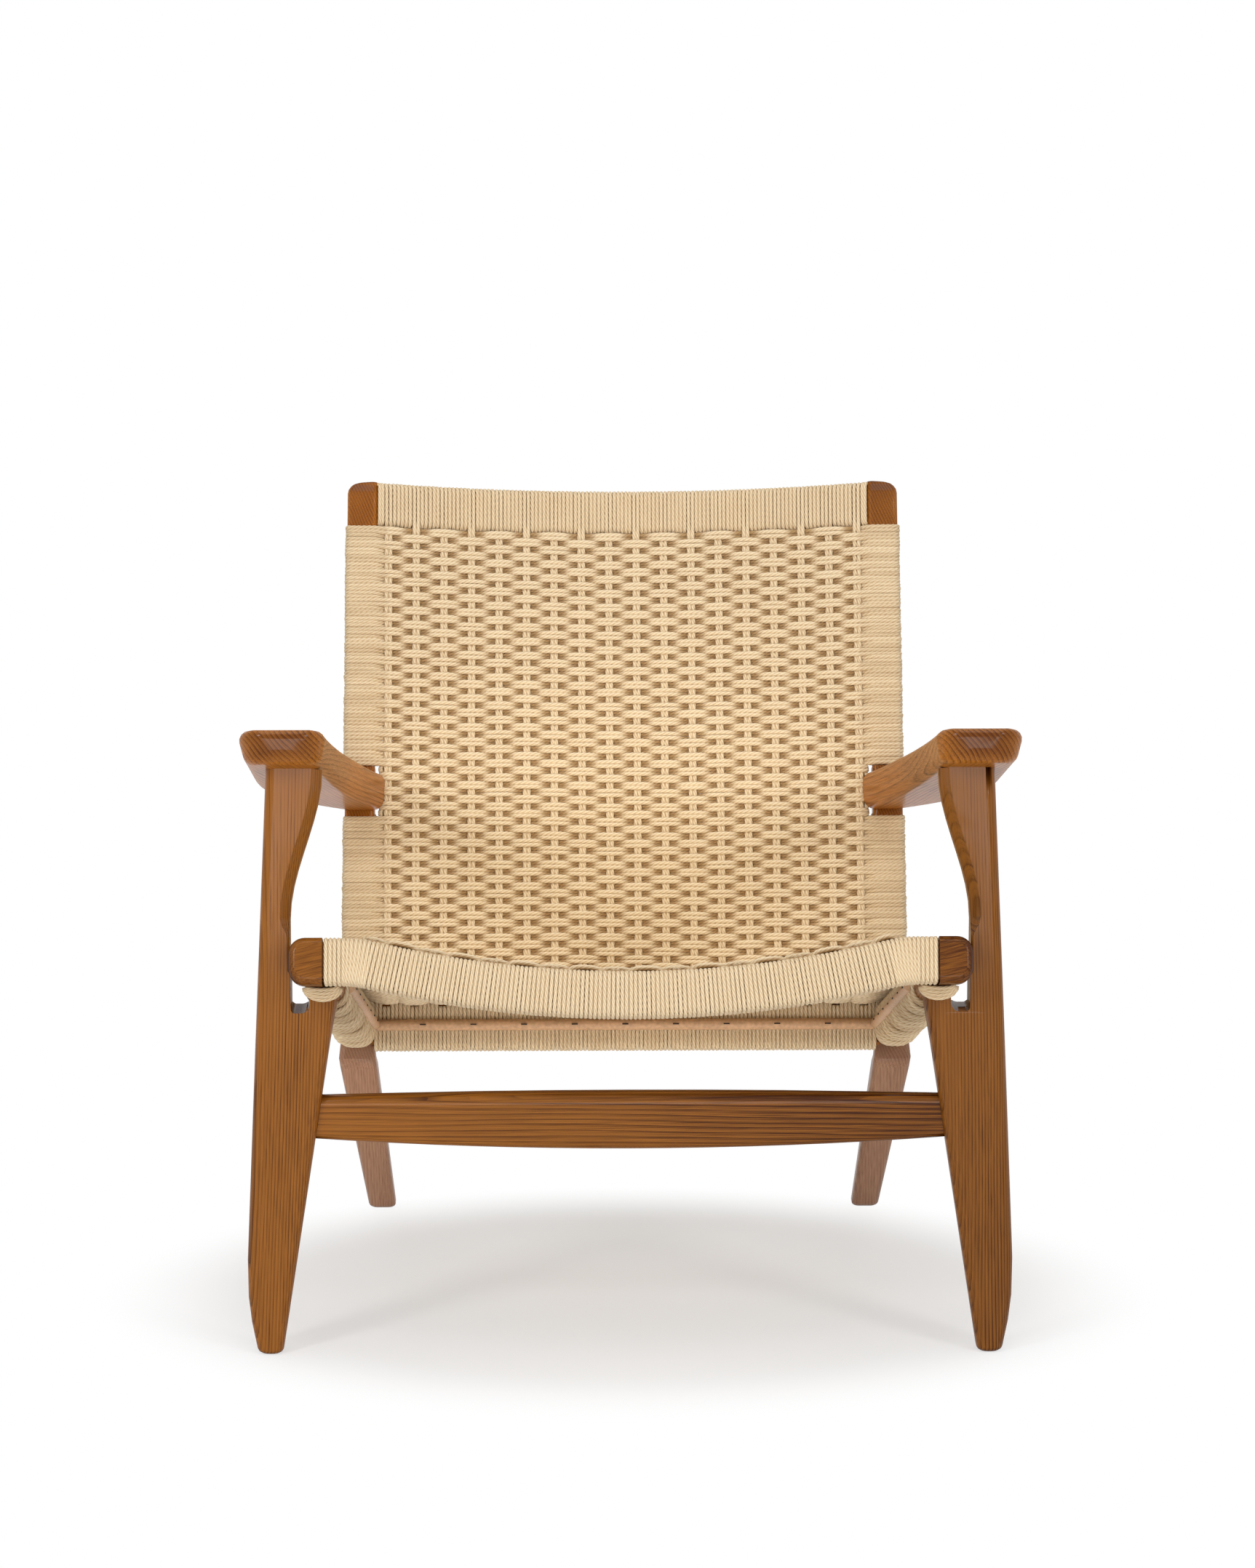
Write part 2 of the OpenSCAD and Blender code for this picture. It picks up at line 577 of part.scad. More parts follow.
// ---- Back rails ----------------------------------------------------------------------------

// Inner face of the upright, as a distance from the middle at height z above the knee.
function upright_inner_x(z) = upright_x - upright_w / 2 / cos(cant) - z * tan(cant);
bow_chord = upright_inner_x(upright_len);
bow_r = (bow_chord * bow_chord + top_rail_bow * top_rail_bow) / 2 / top_rail_bow;
top_rail_z = upright_len - top_rail_h;

module back_room(margin = 0) rotate([90, 0, 0]) translate([0, 0, -2 * spare]) linear_extrude(3 * spare)
    polygon([for (p = [[1, 0], [1, upright_len], [-1, upright_len], [-1, 0]])
        [p[0] * (upright_inner_x(p[1]) - margin), p[1]]]);
module bow_sweep() translate([0, top_rail_bow - bow_r + back_rail_t / 2, top_rail_z + top_rail_h / 2])
    rotate([0, 0, 66]) rotate_extrude(angle = 48, $fn = arc_steps) translate([bow_r, 0]) children();
module bottom_bar() translate([-5 * spare, back_rail_t / 2, bottom_rail_z + bottom_rail_h / 2])
    rotate([90, 0, 90]) linear_extrude(10 * spare) children();

module back_top_rail() color(walnut) place() difference() {
    back_frame() intersection() {
        bow_sweep() core_section(back_rail_t, top_rail_h);
        back_room();
    }
    both_sides() back_rail_dowel(true);
}
module back_top_winding() color(straw) place() back_frame() intersection() {
    bow_sweep() wound_section(back_rail_t, top_rail_h);
    back_room();
}
module back_bottom_rail() color(walnut) place() difference() {
    back_frame() intersection() {
        bottom_bar() core_section(back_rail_t, bottom_rail_h);
        back_room();
    }
    both_sides() back_rail_dowel(true);
}
module back_bottom_winding() color(straw) place() back_frame() intersection() {
    bottom_bar() wound_section(back_rail_t, bottom_rail_h);
    back_room();
}

// ---- Back weave ----------------------------------------------------------------------------

weave_low = bottom_rail_z + bottom_rail_h;
weave_high = top_rail_z;
notch_low = arm_end_z - notch_h / 2;
notch_high = arm_end_z + notch_h / 2;
function bow_y(x) = sqrt(bow_r * bow_r - x * x) - sqrt(bow_r * bow_r - bow_chord * bow_chord);

module back_weave() color(straw) place() back_frame() difference() {
    sheet(20, 4, function (u, v) let (z = mix(weave_low - weave_lap, weave_high + weave_lap, v),
        x = (1 - 2 * u) * (upright_inner_x(z) + rebate - cord_d))
        [x, bow_y(x) * (z - weave_low) / (weave_high - weave_low), z], [0, cord_d, 0]);
    bow_sweep() bar_section(back_rail_t, top_rail_h, bar_r);
    bottom_bar() bar_section(back_rail_t, bottom_rail_h, bar_r);
    both_sides() translate([upright_inner_x(arm_end_z) - notch_w, -spare, notch_low])
        cube([spare, 2 * spare, notch_h]);
}

// The weft cords turn round the uprights in two shallow rebates, above and below the armrest.
module upright_ring_space(outer) back_frame() for (z = [[weave_low, notch_low], [notch_high, top_rail_z]])
    intersection() {
        translate([upright_x - z[0] * tan(cant), upright_t / 2, z[0]]) rotate([0, -cant, 0])
            translate([0, 0, -spare]) linear_extrude(z[1] - z[0] + 2 * spare) difference() {
                bar_section(upright_w + 2 * outer, upright_t + 2 * outer, upright_r + outer);
                bar_section(upright_w - 2 * rebate, upright_t - 2 * rebate, upright_r);
            }
        translate([0, -spare, z[0]]) cube([upright_x + spare, 3 * spare, z[1] - z[0]]);
    }
module back_side_winding() color(straw) place() upright_ring_space(cord_d - rebate);

// ---- Armrests ------------------------------------------------------------------------------

arm_end_y = arm_rear[0];
arm_outer_x = leg_top_x + arm_overhang;
// The rear end stands a little further in than the upright.
arm_end_in = 2;
arm_end_x = upright_x - arm_end_z * tan(cant) - arm_end_w / 2 - arm_end_in;
arm_top_front = leg_h + arm_t;
arm_top_slope = (arm_top_front - (arm_rear[1] + arm_end_h / 2 * cos(back_recline)))
    / (arm_rear[0] + arm_end_h / 2 * sin(back_recline));
// Radii of the nose, seen from above, and of the long edges.
nose_r = 26;
arm_edge_r = 11;
// The inner edge curves in from the front leg back, and the outer edge from here back.
arm_toe = 10;
arm_sweep_y = 200;
// Lean of the sides towards the underside, at the front and at the rear.
arm_tuck = [8, 2];
function arm_inner_x(y) = let (t = max(0, y) / arm_end_y, x0 = arm_outer_x - arm_w)
    x0 - arm_toe * t - (x0 - arm_toe - arm_end_x) * t * t;
function arm_outer(y) = let (t = max(0, (y - arm_sweep_y) / (arm_end_y - arm_sweep_y)))
    arm_outer_x - (arm_outer_x - arm_end_x - arm_end_w) * pow(t, 2.2);
// Section of the armrest at y, which tilts towards the rear to end flat on the upright.
function arm_ring(y) =
    let (s = y + arm_nose, in = end_round(s, nose_r), up = end_round(s, arm_edge_r),
        t = max(0, y) / arm_end_y, k = tan(back_recline) * smooth((t - 0.6) / 0.4),
        x0 = arm_inner_x(y) + in, x1 = arm_outer(y) - in,
        zc = arm_rear[1] + (arm_end_y - y) * (arm_top_slope + under_slope) / 2,
        q1 = (arm_top_front - y * arm_top_slope - zc) / (1 + k * arm_top_slope) - up * 0.8,
        q0 = (leg_h - y * under_slope - zc) / (1 + k * under_slope) + up * 1.2,
        tuck = mix(arm_tuck[0], arm_tuck[1], t), r = max(0.8, arm_edge_r - up * 0.9))
    [for (p = rounded([[q0, x0 + tuck * 0.7], [q1, x0], [q1, x1], [q0, x1 - tuck]], [r, r * 0.8, r * 0.8, r]))
        [p[1], y + p[0] * k, zc + p[0]]];

module armrest() color(walnut) place() difference() {
    steps = 16;
    loft([
        for (t = [0, 0.07, 0.22, 0.45, 0.72]) arm_ring(t * arm_edge_r - arm_nose),
        for (t = [0, 0.33, 0.67, 1]) arm_ring(mix(arm_edge_r, nose_r, t) - arm_nose),
        for (i = [0:steps]) arm_ring(mix(nose_r - arm_nose + 10, arm_end_y, i / steps))
    ]);
    armrest_front_dowel(true);
    armrest_rear_dowel(true);
}

// ---- Battens -------------------------------------------------------------------------------

// Half-round strips over the cord ends on the inner faces of the wound seat rails.
batten_z = -5;
batten_gap = 4;
module half_round(r = batten_w / 2) intersection() {
    circle(r, $fn = round_steps);
    translate([0, -r]) square([r, 2 * r]);
}
module side_batten_path(y0, y1) translate([seat_front_w / 2, 0, batten_z]) rotate([0, 0, seat_toe])
    translate([-side_rail_w / 2 - cord_d, y1, 0]) rotate([90, 0, 0]) mirror([1, 0, 0])
        linear_extrude(y1 - y0) children();
module side_batten() color("tan") place() seat_frame() side_batten_path(bare_to + batten_gap,
    rear_rail_y - batten_w / 2 - batten_gap) half_round();
module rear_batten_path(x0, x1) translate([x0, rear_rail_y, batten_z]) rotate([90, 0, 90])
    mirror([1, 0, 0]) linear_extrude(x1 - x0) children();
batten_end = rail_inner_x(rear_rail_y) - cord_d - batten_gap / 2;
module rear_batten() color("tan") place() seat_frame() rear_batten_path(-batten_end, batten_end) half_round();
front_batten_turn = 0.97 * dish_turn;
// Half-round section where the arc of the front rail has turned so far from the middle.
function front_batten_ring(turn) = [for (a = [0:15:180]) let (r = dish_r + batten_w / 2 * cos(a))
    [r * sin(turn), batten_w / 2 * sin(a), dish_mid_z + dish_r - r * cos(turn)]];
module front_batten() color("tan") place() seat_frame()
    loft([for (i = [-12:12]) front_batten_ring(front_batten_turn * i / 12)]);

// Staples lie along the battens.
staple_l = 6;
staple_w = 1.3;
staple_t = 0.8;
staple_from_end = 20;
module staple_section() intersection() {
    difference() {
        half_round(batten_w / 2 + staple_t);
        half_round(batten_w / 2);
    }
    square([3 * batten_w, staple_w], center = true);
}
module batten_staples() color("dimgray") place() seat_frame() {
    count = floor((batten_end - staple_l) / staple_pitch);
    for (i = [-count:count])
        rear_batten_path(i * staple_pitch - staple_l / 2, i * staple_pitch + staple_l / 2) staple_section();
    turn_step = staple_pitch / dish_r * 180 / PI;
    front_count = floor(0.97 * front_batten_turn / turn_step);
    for (i = [-front_count:front_count])
        translate([0, 0, dish_mid_z + dish_r]) rotate([0, -i * turn_step, 0])
            translate([-staple_l / 2, 0, -dish_r]) rotate([90, 0, 90]) linear_extrude(staple_l)
                front_staple_section();
    both_sides() for (y = [bare_to + staple_from_end:staple_pitch:rear_rail_y - staple_from_end])
        side_batten_path(y - staple_l / 2, y + staple_l / 2) staple_section();
}
// The front batten is drawn in short flats, so its staples stand off by a hair.
module front_staple_section() translate([0.01, 0]) staple_section();

// ---- Dowels --------------------------------------------------------------------------------

// Front rail to side rail, between the winding's end and the side rail's outer face, and in the
// middle of the height that both rails share.
module front_rail_dowel(bore = false) seat_frame() translate([(wound_x + (seat_front_w + side_rail_w) / 2) / 2, 0,
    (side_rail_h / 2 + front_rail_rise - front_rail_h / 2) / 2]) dowel_pair(bore, [0, 0, 1], [90, 0, 0]);
// Short tine of the front leg to side rail.
module leg_rail_dowel(bore = false) {
    y = (leg_mid_y - seat_y + side_rail_h / 2 * sin(seat_slope)) / cos(seat_slope);
    seat_frame() translate([leg_seat_x + tine_w / 2, y, -side_rail_h / 2]) dowel(bore);
}
// Front leg to armrest.
module armrest_front_dowel(bore = false)
    translate([leg_top_x - leg_top_w / 2, leg_mid_y, leg_h - leg_mid_y * under_slope])
        rotate([-atan(under_slope), 0, 0]) dowel_pair(bore, [1, 0, 0], [0, 0, 0], dowel_d);
// Armrest to upright.
module armrest_rear_dowel(bore = false) back_frame()
    translate([upright_x - arm_end_z * tan(cant), 0, arm_end_z]) dowel_pair(bore, [0, 0, 1], [90, 0, 0]);
// Side rail to upright.
module side_rail_dowel(bore = false) back_frame()
    translate([seat_rear_w / 2, 0, knee_drop]) dowel_pair(bore, [0, 0, 1], [90, 0, 0]);
// The dowels across the chair at the rear stop short of the side rails' own, by this much wood.
dowel_wall = 2;
cross_dowel_x = (seat_rear_w - rail_dowel_d) / 2 - dowel_wall;
// Rear rail to side rail.
module rear_rail_dowel(bore = false) seat_frame()
    translate([rail_inner_x(rear_rail_y), rear_rail_y + rear_rail_t / 2, 0])
        dowel_pair(bore, [0, 0, 1], [0, 90, 0], depth = cross_dowel_x - rail_inner_x(rear_rail_y));
// Top and bottom rails of the back to upright.
module back_rail_dowel(bore = false) back_frame()
    for (z = [bottom_rail_z + bottom_rail_h / 2, top_rail_z + top_rail_h / 2])
        translate([upright_inner_x(z), back_rail_t / 2, z])
            dowel_pair(bore, [0, 0, 1], [0, 90, 0], depth = cross_dowel_x - upright_inner_x(bottom_rail_z));

module dowel_colour() color("wheat") place() both_sides() children();

left_side() front_leg();  // front_leg_left
front_leg();  // front_leg_right
left_side() rear_leg();  // rear_leg_left
rear_leg();  // rear_leg_right
left_side() armrest();  // armrest_left
armrest();  // armrest_right
front_stretcher();
seat_front_rail();
left_side() seat_side_rail();  // seat_side_rail_left
seat_side_rail();  // seat_side_rail_right
seat_rear_rail();
back_top_rail();
back_bottom_rail();
seat_weave();
back_weave();
seat_front_winding();
seat_rear_winding();
left_side() seat_side_winding();  // seat_side_winding_left
seat_side_winding();  // seat_side_winding_right
back_top_winding();
back_bottom_winding();
left_side() back_side_winding();  // back_side_winding_left
back_side_winding();  // back_side_winding_right
front_batten();
rear_batten();
left_side() side_batten();  // side_batten_left
side_batten();  // side_batten_right
batten_staples();
dowel_colour() front_rail_dowel();  // front_rail_dowels
dowel_colour() leg_rail_dowel();  // leg_rail_dowels
dowel_colour() armrest_front_dowel();  // armrest_front_dowels
dowel_colour() armrest_rear_dowel();  // armrest_rear_dowels
dowel_colour() side_rail_dowel();  // side_rail_dowels
dowel_colour() rear_rail_dowel();  // rear_rail_dowels
dowel_colour() back_rail_dowel();  // back_rail_dowels
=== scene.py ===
import math

import bpy
import numpy as np
from mathutils import Matrix, Vector


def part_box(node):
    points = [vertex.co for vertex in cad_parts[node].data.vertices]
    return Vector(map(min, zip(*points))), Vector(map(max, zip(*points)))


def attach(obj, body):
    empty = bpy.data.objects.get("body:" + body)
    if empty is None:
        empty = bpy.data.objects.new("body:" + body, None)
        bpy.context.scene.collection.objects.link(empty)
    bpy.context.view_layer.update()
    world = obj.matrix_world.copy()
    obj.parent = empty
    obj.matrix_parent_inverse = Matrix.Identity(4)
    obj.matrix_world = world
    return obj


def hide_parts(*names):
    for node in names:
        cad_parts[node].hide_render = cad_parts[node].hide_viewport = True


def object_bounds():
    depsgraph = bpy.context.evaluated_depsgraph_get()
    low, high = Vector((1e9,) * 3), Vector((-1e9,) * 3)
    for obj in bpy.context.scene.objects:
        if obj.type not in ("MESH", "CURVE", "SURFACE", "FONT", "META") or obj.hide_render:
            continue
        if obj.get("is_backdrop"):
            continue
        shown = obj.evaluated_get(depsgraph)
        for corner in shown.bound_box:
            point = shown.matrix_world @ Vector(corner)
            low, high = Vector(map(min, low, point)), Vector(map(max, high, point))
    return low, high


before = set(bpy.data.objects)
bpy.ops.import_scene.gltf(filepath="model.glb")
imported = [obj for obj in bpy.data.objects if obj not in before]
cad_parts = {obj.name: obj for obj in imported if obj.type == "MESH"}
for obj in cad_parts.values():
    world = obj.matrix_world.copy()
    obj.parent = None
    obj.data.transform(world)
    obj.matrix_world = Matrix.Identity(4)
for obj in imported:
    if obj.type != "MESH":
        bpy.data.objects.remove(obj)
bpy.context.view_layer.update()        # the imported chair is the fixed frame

mm = 0.001

chair = {
    "legMiddle": 18 * mm,         # depth of the front legs' middle, which all depths follow
    "seatStart": -12 * mm,        # depth of the side rails' front ends
    "seatHeight": 367 * mm,
    "seatSlope": math.radians(19.1),
    "sideRailLength": 462 * mm,
    "sideRailSpread": 564 * mm,   # centre to centre, in front
    "uprightSpread": 532 * mm,    # centre to centre, at the knee
    "kneeDrop": 42 * mm,          # from the side rails' rear ends down the uprights
    "backRecline": math.radians(21),
    "rearFoot": 530 * mm,         # depth of the rear feet
}
legLow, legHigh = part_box("front_leg_right")
depthShift = (legLow.y + legHigh.y) / 2 - chair["legMiddle"]   # from depth to the frame's Y


def leaned(place, angle):
    # a frame on the chair's middle plane, tipped over backwards
    return Matrix.Translation(place) @ Matrix.Rotation(-angle, 4, "X")


# The woven frames of seat and back: X is across, Y follows the warps and Z points at the sitter.
seatFrame = leaned((0, chair["seatStart"] + depthShift, chair["seatHeight"]), chair["seatSlope"])
railEnd = seatFrame @ Vector((0, chair["sideRailLength"], 0))
kneePoint = railEnd - chair["kneeDrop"] * Vector(
    (0, math.sin(chair["backRecline"]), math.cos(chair["backRecline"])))
backFrame = leaned(kneePoint, chair["backRecline"]) @ Matrix.Rotation(math.pi / 2, 4, "X")


class Wire:
    # one output of a shader node, which can be used in sums
    def __init__(self, recipe, socket):
        self.recipe = recipe
        self.socket = socket

    def other(self, output):
        # another output of the same node
        return Wire(self.recipe, self.socket.node.outputs[output])

    def sum(self, operation, first, second=None):
        values = {0: first} if second is None else {0: first, 1: second}
        return self.recipe.add("ShaderNodeMath", {"operation": operation}, values)

    def __add__(self, other):
        return self.sum("ADD", self, other)

    def __sub__(self, other):
        return self.sum("SUBTRACT", self, other)

    def __rsub__(self, other):
        return self.sum("SUBTRACT", other, self)

    def __mul__(self, other):
        return self.sum("MULTIPLY", self, other)

    def __truediv__(self, other):
        return self.sum("DIVIDE", self, other)

    def __pow__(self, other):
        return self.sum("POWER", self, other)

    def __abs__(self):
        return self.sum("ABSOLUTE", self)

    __radd__ = __add__
    __rmul__ = __mul__


class Recipe:
    # the nodes of a material or of the world
    def __init__(self, owner):
        self.owner = owner
        owner.use_nodes = True
        self.nodes = owner.node_tree.nodes
        self.links = owner.node_tree.links
        self.nodes.clear()

    def add(self, kind, settings, inputs, output=0):
        node = self.nodes.new(kind)
        for key, value in settings.items():
            if key == "stops":
                ramp = node.color_ramp
                while len(ramp.elements) < len(value):
                    ramp.elements.new(0.5)
                for element, (place, colour) in zip(ramp.elements, value):
                    element.position = place
                    element.color = (*colour, 1)
            else:
                setattr(node, key, value)
        for key, value in inputs.items():
            if isinstance(value, Wire):
                self.links.new(value.socket, node.inputs[key])
            else:
                node.inputs[key].default_value = value
        return Wire(self, node.outputs[output]) if node.outputs else None

    def mix(self, share, first, second):
        # one colour passing into another
        return self.add("ShaderNodeMix", {"data_type": "RGBA"}, {0: share, 6: first, 7: second}, 2)

    def noise(self, place, scale, detail, **inputs):
        return self.add("ShaderNodeTexNoise", {},
                        {"Vector": place, "Scale": scale, "Detail": detail, **inputs})

    def bump(self, height, strength, distance):
        return self.add("ShaderNodeBump", {},
                        {"Height": height, "Strength": strength, "Distance": distance})

    def finish(self, values, glow=None):
        # glow is the share of plain white light that takes the surface's place
        surface = self.add("ShaderNodeBsdfPrincipled", {}, values)
        if glow is not None:
            white = self.add("ShaderNodeEmission", {}, {})
            surface = self.add("ShaderNodeMixShader", {}, {0: glow, 1: surface, 2: white})
        self.add("ShaderNodeOutputMaterial", {}, {"Surface": surface})
        return self.owner


def clamp01(wire):
    return wire.recipe.add("ShaderNodeClamp", {}, {0: wire})


def blended(first, second, share):
    # a colour between two others, worked out once
    return tuple(a * (1 - share) + b * share for a, b in zip(first, second))


woodFinish = {
    "early": (0.340, 0.120, 0.016),    # pale wood between the lines
    "late": (0.062, 0.015, 0.001),     # dark growth lines
    "paintedSheen": ((0.30, 0.166, 0.101), (0.112, 0.051, 0.030)),    # the same paler, as painted sheen low down
    "paintedSheenFade": 8.0,                   # how fast the painted sheen comes in below its height, over a metre
    "lineSpacing": 2.9 * mm,
    "lineLean": 0.4,                   # how much the lines shift over the depth of the plank
    "lineDrift": 4.0,                  # how far they wander, in spacings
    "lines": 1.0,                      # how dark the growth lines are
    "lineRise": 2.4,                   # how slowly a line darkens
    "lineFall": 6.0,                   # how suddenly it ends
    "fineLines": 2.6,                  # fine lines to a growth line
    "fineDark": 0.28,
    "fibres": 1.2,
    "pores": 0.15,
    "patches": 0.9,
    "ground": 0.20,                    # darkness of plain wood
    "endGrain": 0.55,                  # how much darker the ends of the fibres are
    "roughness": 0.38,
    "darkRoughness": 0.10,             # how much rougher the dark wood is
    "shine": 0.05,
    "lacquer": 0.24,
    "lacquerRoughness": 0.16,
    "relief": 0.25 * mm,
}
woodNoise = {      # scale, share of it that is left along the grain, and detail
    "drift": (14.0, 0.12, 2.0),
    "strength": (38.0, 0.04, 1.0),
    "patch": (7.0, 0.2, 3.0),
    "fibre": (900.0, 0.012, 2.0),
    "pores": (1300.0, 0.014, 1.0),
}


def stainedWood(name, grain, across, shift=(0, 0, 0), tone=1.0, darkening=0.0, paintedSheenBelow=0.0, **changes):
    # grain is the direction of the fibres and across the one from line to line; shift moves the
    # pattern; darkening is how much darker the plank grows over a metre of its length, and
    # the next argument the height under which the wood is painted paler, as painted sheen
    finish = {**woodFinish, **changes}
    grain, across = Vector(grain).normalized(), Vector(across).normalized()
    turn = Matrix((across, grain.cross(across), grain)).to_euler()
    recipe = Recipe(bpy.data.materials.new(name))
    place = recipe.add("ShaderNodeTexCoord", {}, {}, "Object")
    onGrain = recipe.add("ShaderNodeMapping", {}, {"Vector": place, "Location": shift, "Rotation": turn})
    cross = recipe.add("ShaderNodeSeparateXYZ", {}, {"Vector": onGrain}, "X")
    depth, along = cross.other("Y"), cross.other("Z")

    def streaks(kind):
        scale, share, detail = woodNoise[kind]
        long = recipe.add("ShaderNodeMapping", {}, {"Vector": onGrain, "Scale": (1, 1, share)})
        return recipe.noise(long, scale, detail, Roughness=0.6)

    phase = (cross + depth * finish["lineLean"]) / finish["lineSpacing"]
    phase = phase + streaks("drift") * finish["lineDrift"]
    saw = recipe.add("ShaderNodeMath", {"operation": "FRACT"}, {0: phase})
    line = saw ** finish["lineRise"] * clamp01((1 - saw) * finish["lineFall"])
    fine = recipe.add("ShaderNodeMath", {"operation": "FRACT"}, {0: phase * finish["fineLines"]})
    strength = clamp01(streaks("strength") * 3.0 - 0.9)      # some lines stay faint
    patch, fibre = streaks("patch"), streaks("fibre")
    pores = clamp01((streaks("pores") - 0.57) * 7.0)         # only the highest peaks
    facing = recipe.add("ShaderNodeVectorMath", {"operation": "DOT_PRODUCT"},
                        {0: place.other("Normal"), 1: grain}, "Value")
    end = facing * facing                                    # 1 where the fibres end
    lines = (line * (strength * 0.6 + 0.5) + fine * fine * finish["fineDark"]) * finish["lines"]
    fibres = ((fibre - 0.5) * finish["fibres"] + pores * finish["pores"]) * (1 - end)
    dark = lines + fibres + (patch - 0.5) * finish["patches"] + finish["ground"] + end * finish["endGrain"]
    if darkening:
        dark = dark + along * darkening
    dark = clamp01(dark)
    early, late = [tuple(c * tone for c in finish[part]) for part in ("early", "late")]
    colour = recipe.add("ShaderNodeValToRGB",
                        {"stops": [(0.0, early), (0.45, blended(early, late, 0.4)), (1.0, late)]},
                        {"Fac": dark})
    # painted sheen: below a height the wood is painted paler
    if paintedSheenBelow:
        level = recipe.add("ShaderNodeSeparateXYZ", {}, {"Vector": place}, "Z")
        pale, brown = [tuple(c * (0.4 + 0.6 * tone) for c in shade) for shade in finish["paintedSheen"]]
        paintedSheen = recipe.add("ShaderNodeValToRGB", {"stops": [(0.0, pale), (1.0, brown)]}, {"Fac": dark})
        share = clamp01((paintedSheenBelow - level) * finish["paintedSheenFade"])
        colour = recipe.mix(share, colour, paintedSheen)
    return recipe.finish({
        "Base Color": colour,
        "Roughness": dark * finish["darkRoughness"] + finish["roughness"],
        "Normal": recipe.bump(fibre * 0.2 - pores * 0.6 - line * 0.2, 0.1, finish["relief"]),
        "Specular IOR Level": finish["shine"],
        "Coat Weight": finish["lacquer"],
        "Coat Roughness": finish["lacquerRoughness"],
    })


cordFinish = {
    "paper": (0.785, 0.650, 0.445),
    "shade": (0.50, 0.300, 0.130),     # between the strands
    "depth": (0.52, 0.4056, 0.2808),   # how much of each colour is left where the weave lies deep, as painted shade
    "strands": 4,
    "strandEdge": 0.9,                 # how narrow the shade between the strands is
    "strandLight": 0.95,
    "ground": 0.13,                    # how much light stays between the strands
    "tint": 0.35,                      # how much the paper varies from place to place
    "tintScale": 45.0,
    "creases": 0.75,
    "creaseScale": (350.0, 26.0, 1.0),     # along the cord and round it
    "roughness": 0.7,
    "shine": 0.15,
    "relief": 0.5 * mm,
}


def twistedCord(name, finish):
    # the cord's UV map holds the length along it, in metres, and the way round it, from 0 to 1
    recipe = Recipe(bpy.data.materials.new(name))
    uv = recipe.add("ShaderNodeUVMap", {"uv_map": "cord"}, {})
    around = recipe.add("ShaderNodeSeparateXYZ", {}, {"Vector": uv}, "Y")
    ridge = abs(recipe.add("ShaderNodeMath", {"operation": "COSINE"},
                           {0: around * (finish["strands"] * math.pi)}))
    place = recipe.add("ShaderNodeTexCoord", {}, {}, "Object")
    tint = recipe.noise(place, finish["tintScale"], 3.0)
    stretched = recipe.add("ShaderNodeMapping", {}, {"Vector": uv, "Scale": finish["creaseScale"]})
    crease = recipe.noise(stretched, 1.0, 3.0)
    # painted shade: a mesh attribute darkens the colour where the cord lies deep in the weave
    hollow = recipe.add("ShaderNodeAttribute", {"attribute_name": "hollow"}, {}, "Fac")
    bright = clamp01(ridge ** finish["strandEdge"] * finish["strandLight"] + finish["ground"]
                     + (tint - 0.5) * finish["tint"] + (crease - 0.5) * finish["creases"])
    middle = blended(finish["paper"], finish["shade"], 0.3)
    colour = recipe.add("ShaderNodeValToRGB",
                        {"stops": [(0.0, finish["shade"]), (0.5, middle), (1.0, finish["paper"])]},
                        {"Fac": bright})
    # the colour darkened as painted shade
    deep = recipe.add("ShaderNodeVectorMath", {"operation": "MULTIPLY"}, {0: colour, 1: finish["depth"]})
    return recipe.finish({
        "Base Color": recipe.mix(hollow, colour, deep),
        "Roughness": finish["roughness"],
        "Normal": recipe.bump(ridge * 0.6 + crease * 0.35, 0.6, finish["relief"]),
        "Specular IOR Level": finish["shine"],
    })


plainFinish = {
    "batten": (0.66, 0.40, 0.22),
    "dowel": (0.62, 0.44, 0.26),
    "dark": 0.72,                      # share of the colour that the dark fibres keep
    "fibreScale": 300.0,
    "roughness": 0.55,
    "relief": 0.2 * mm,
}
stapleFinish = {
    "colour": (0.07, 0.055, 0.045, 1),
    "wearScale": 800.0,
    "wear": 0.3,                       # how much rougher the worn places are
    "roughness": 0.3,
}


def plainWood(name, colour, finish):
    dark = tuple(c * finish["dark"] for c in colour)
    recipe = Recipe(bpy.data.materials.new(name))
    fibre = recipe.noise(recipe.add("ShaderNodeTexCoord", {}, {}, "Object"), finish["fibreScale"], 4.0)
    tint = recipe.add("ShaderNodeValToRGB", {"stops": [(0.3, dark), (0.7, colour)]}, {"Fac": fibre})
    return recipe.finish({"Base Color": tint, "Roughness": finish["roughness"],
                          "Normal": recipe.bump(fibre, 0.1, finish["relief"])})


def darkSteel(name, finish):
    recipe = Recipe(bpy.data.materials.new(name))
    wear = recipe.noise(recipe.add("ShaderNodeTexCoord", {}, {}, "Object"), finish["wearScale"], 2.0)
    return recipe.finish({"Base Color": finish["colour"], "Metallic": 1.0,
                          "Roughness": wear * finish["wear"] + finish["roughness"]})


cordMaterial = twistedCord("paperCord", cordFinish)
battenMaterial = plainWood("battenWood", plainFinish["batten"], plainFinish)
dowelMaterial = plainWood("dowelWood", plainFinish["dowel"], plainFinish)
stapleMaterial = darkSteel("stapleSteel", stapleFinish)
print("materials ready")


shaping = {
    "weld": 0.01 * mm,                 # corners nearer than this become one
    "flat": math.radians(0.4),         # faces that meet at less than this become one
    "smooth": math.radians(38),        # edges that turn by less than this look round
    "kneeSmooth": math.radians(62),    # the same on the rear legs
}


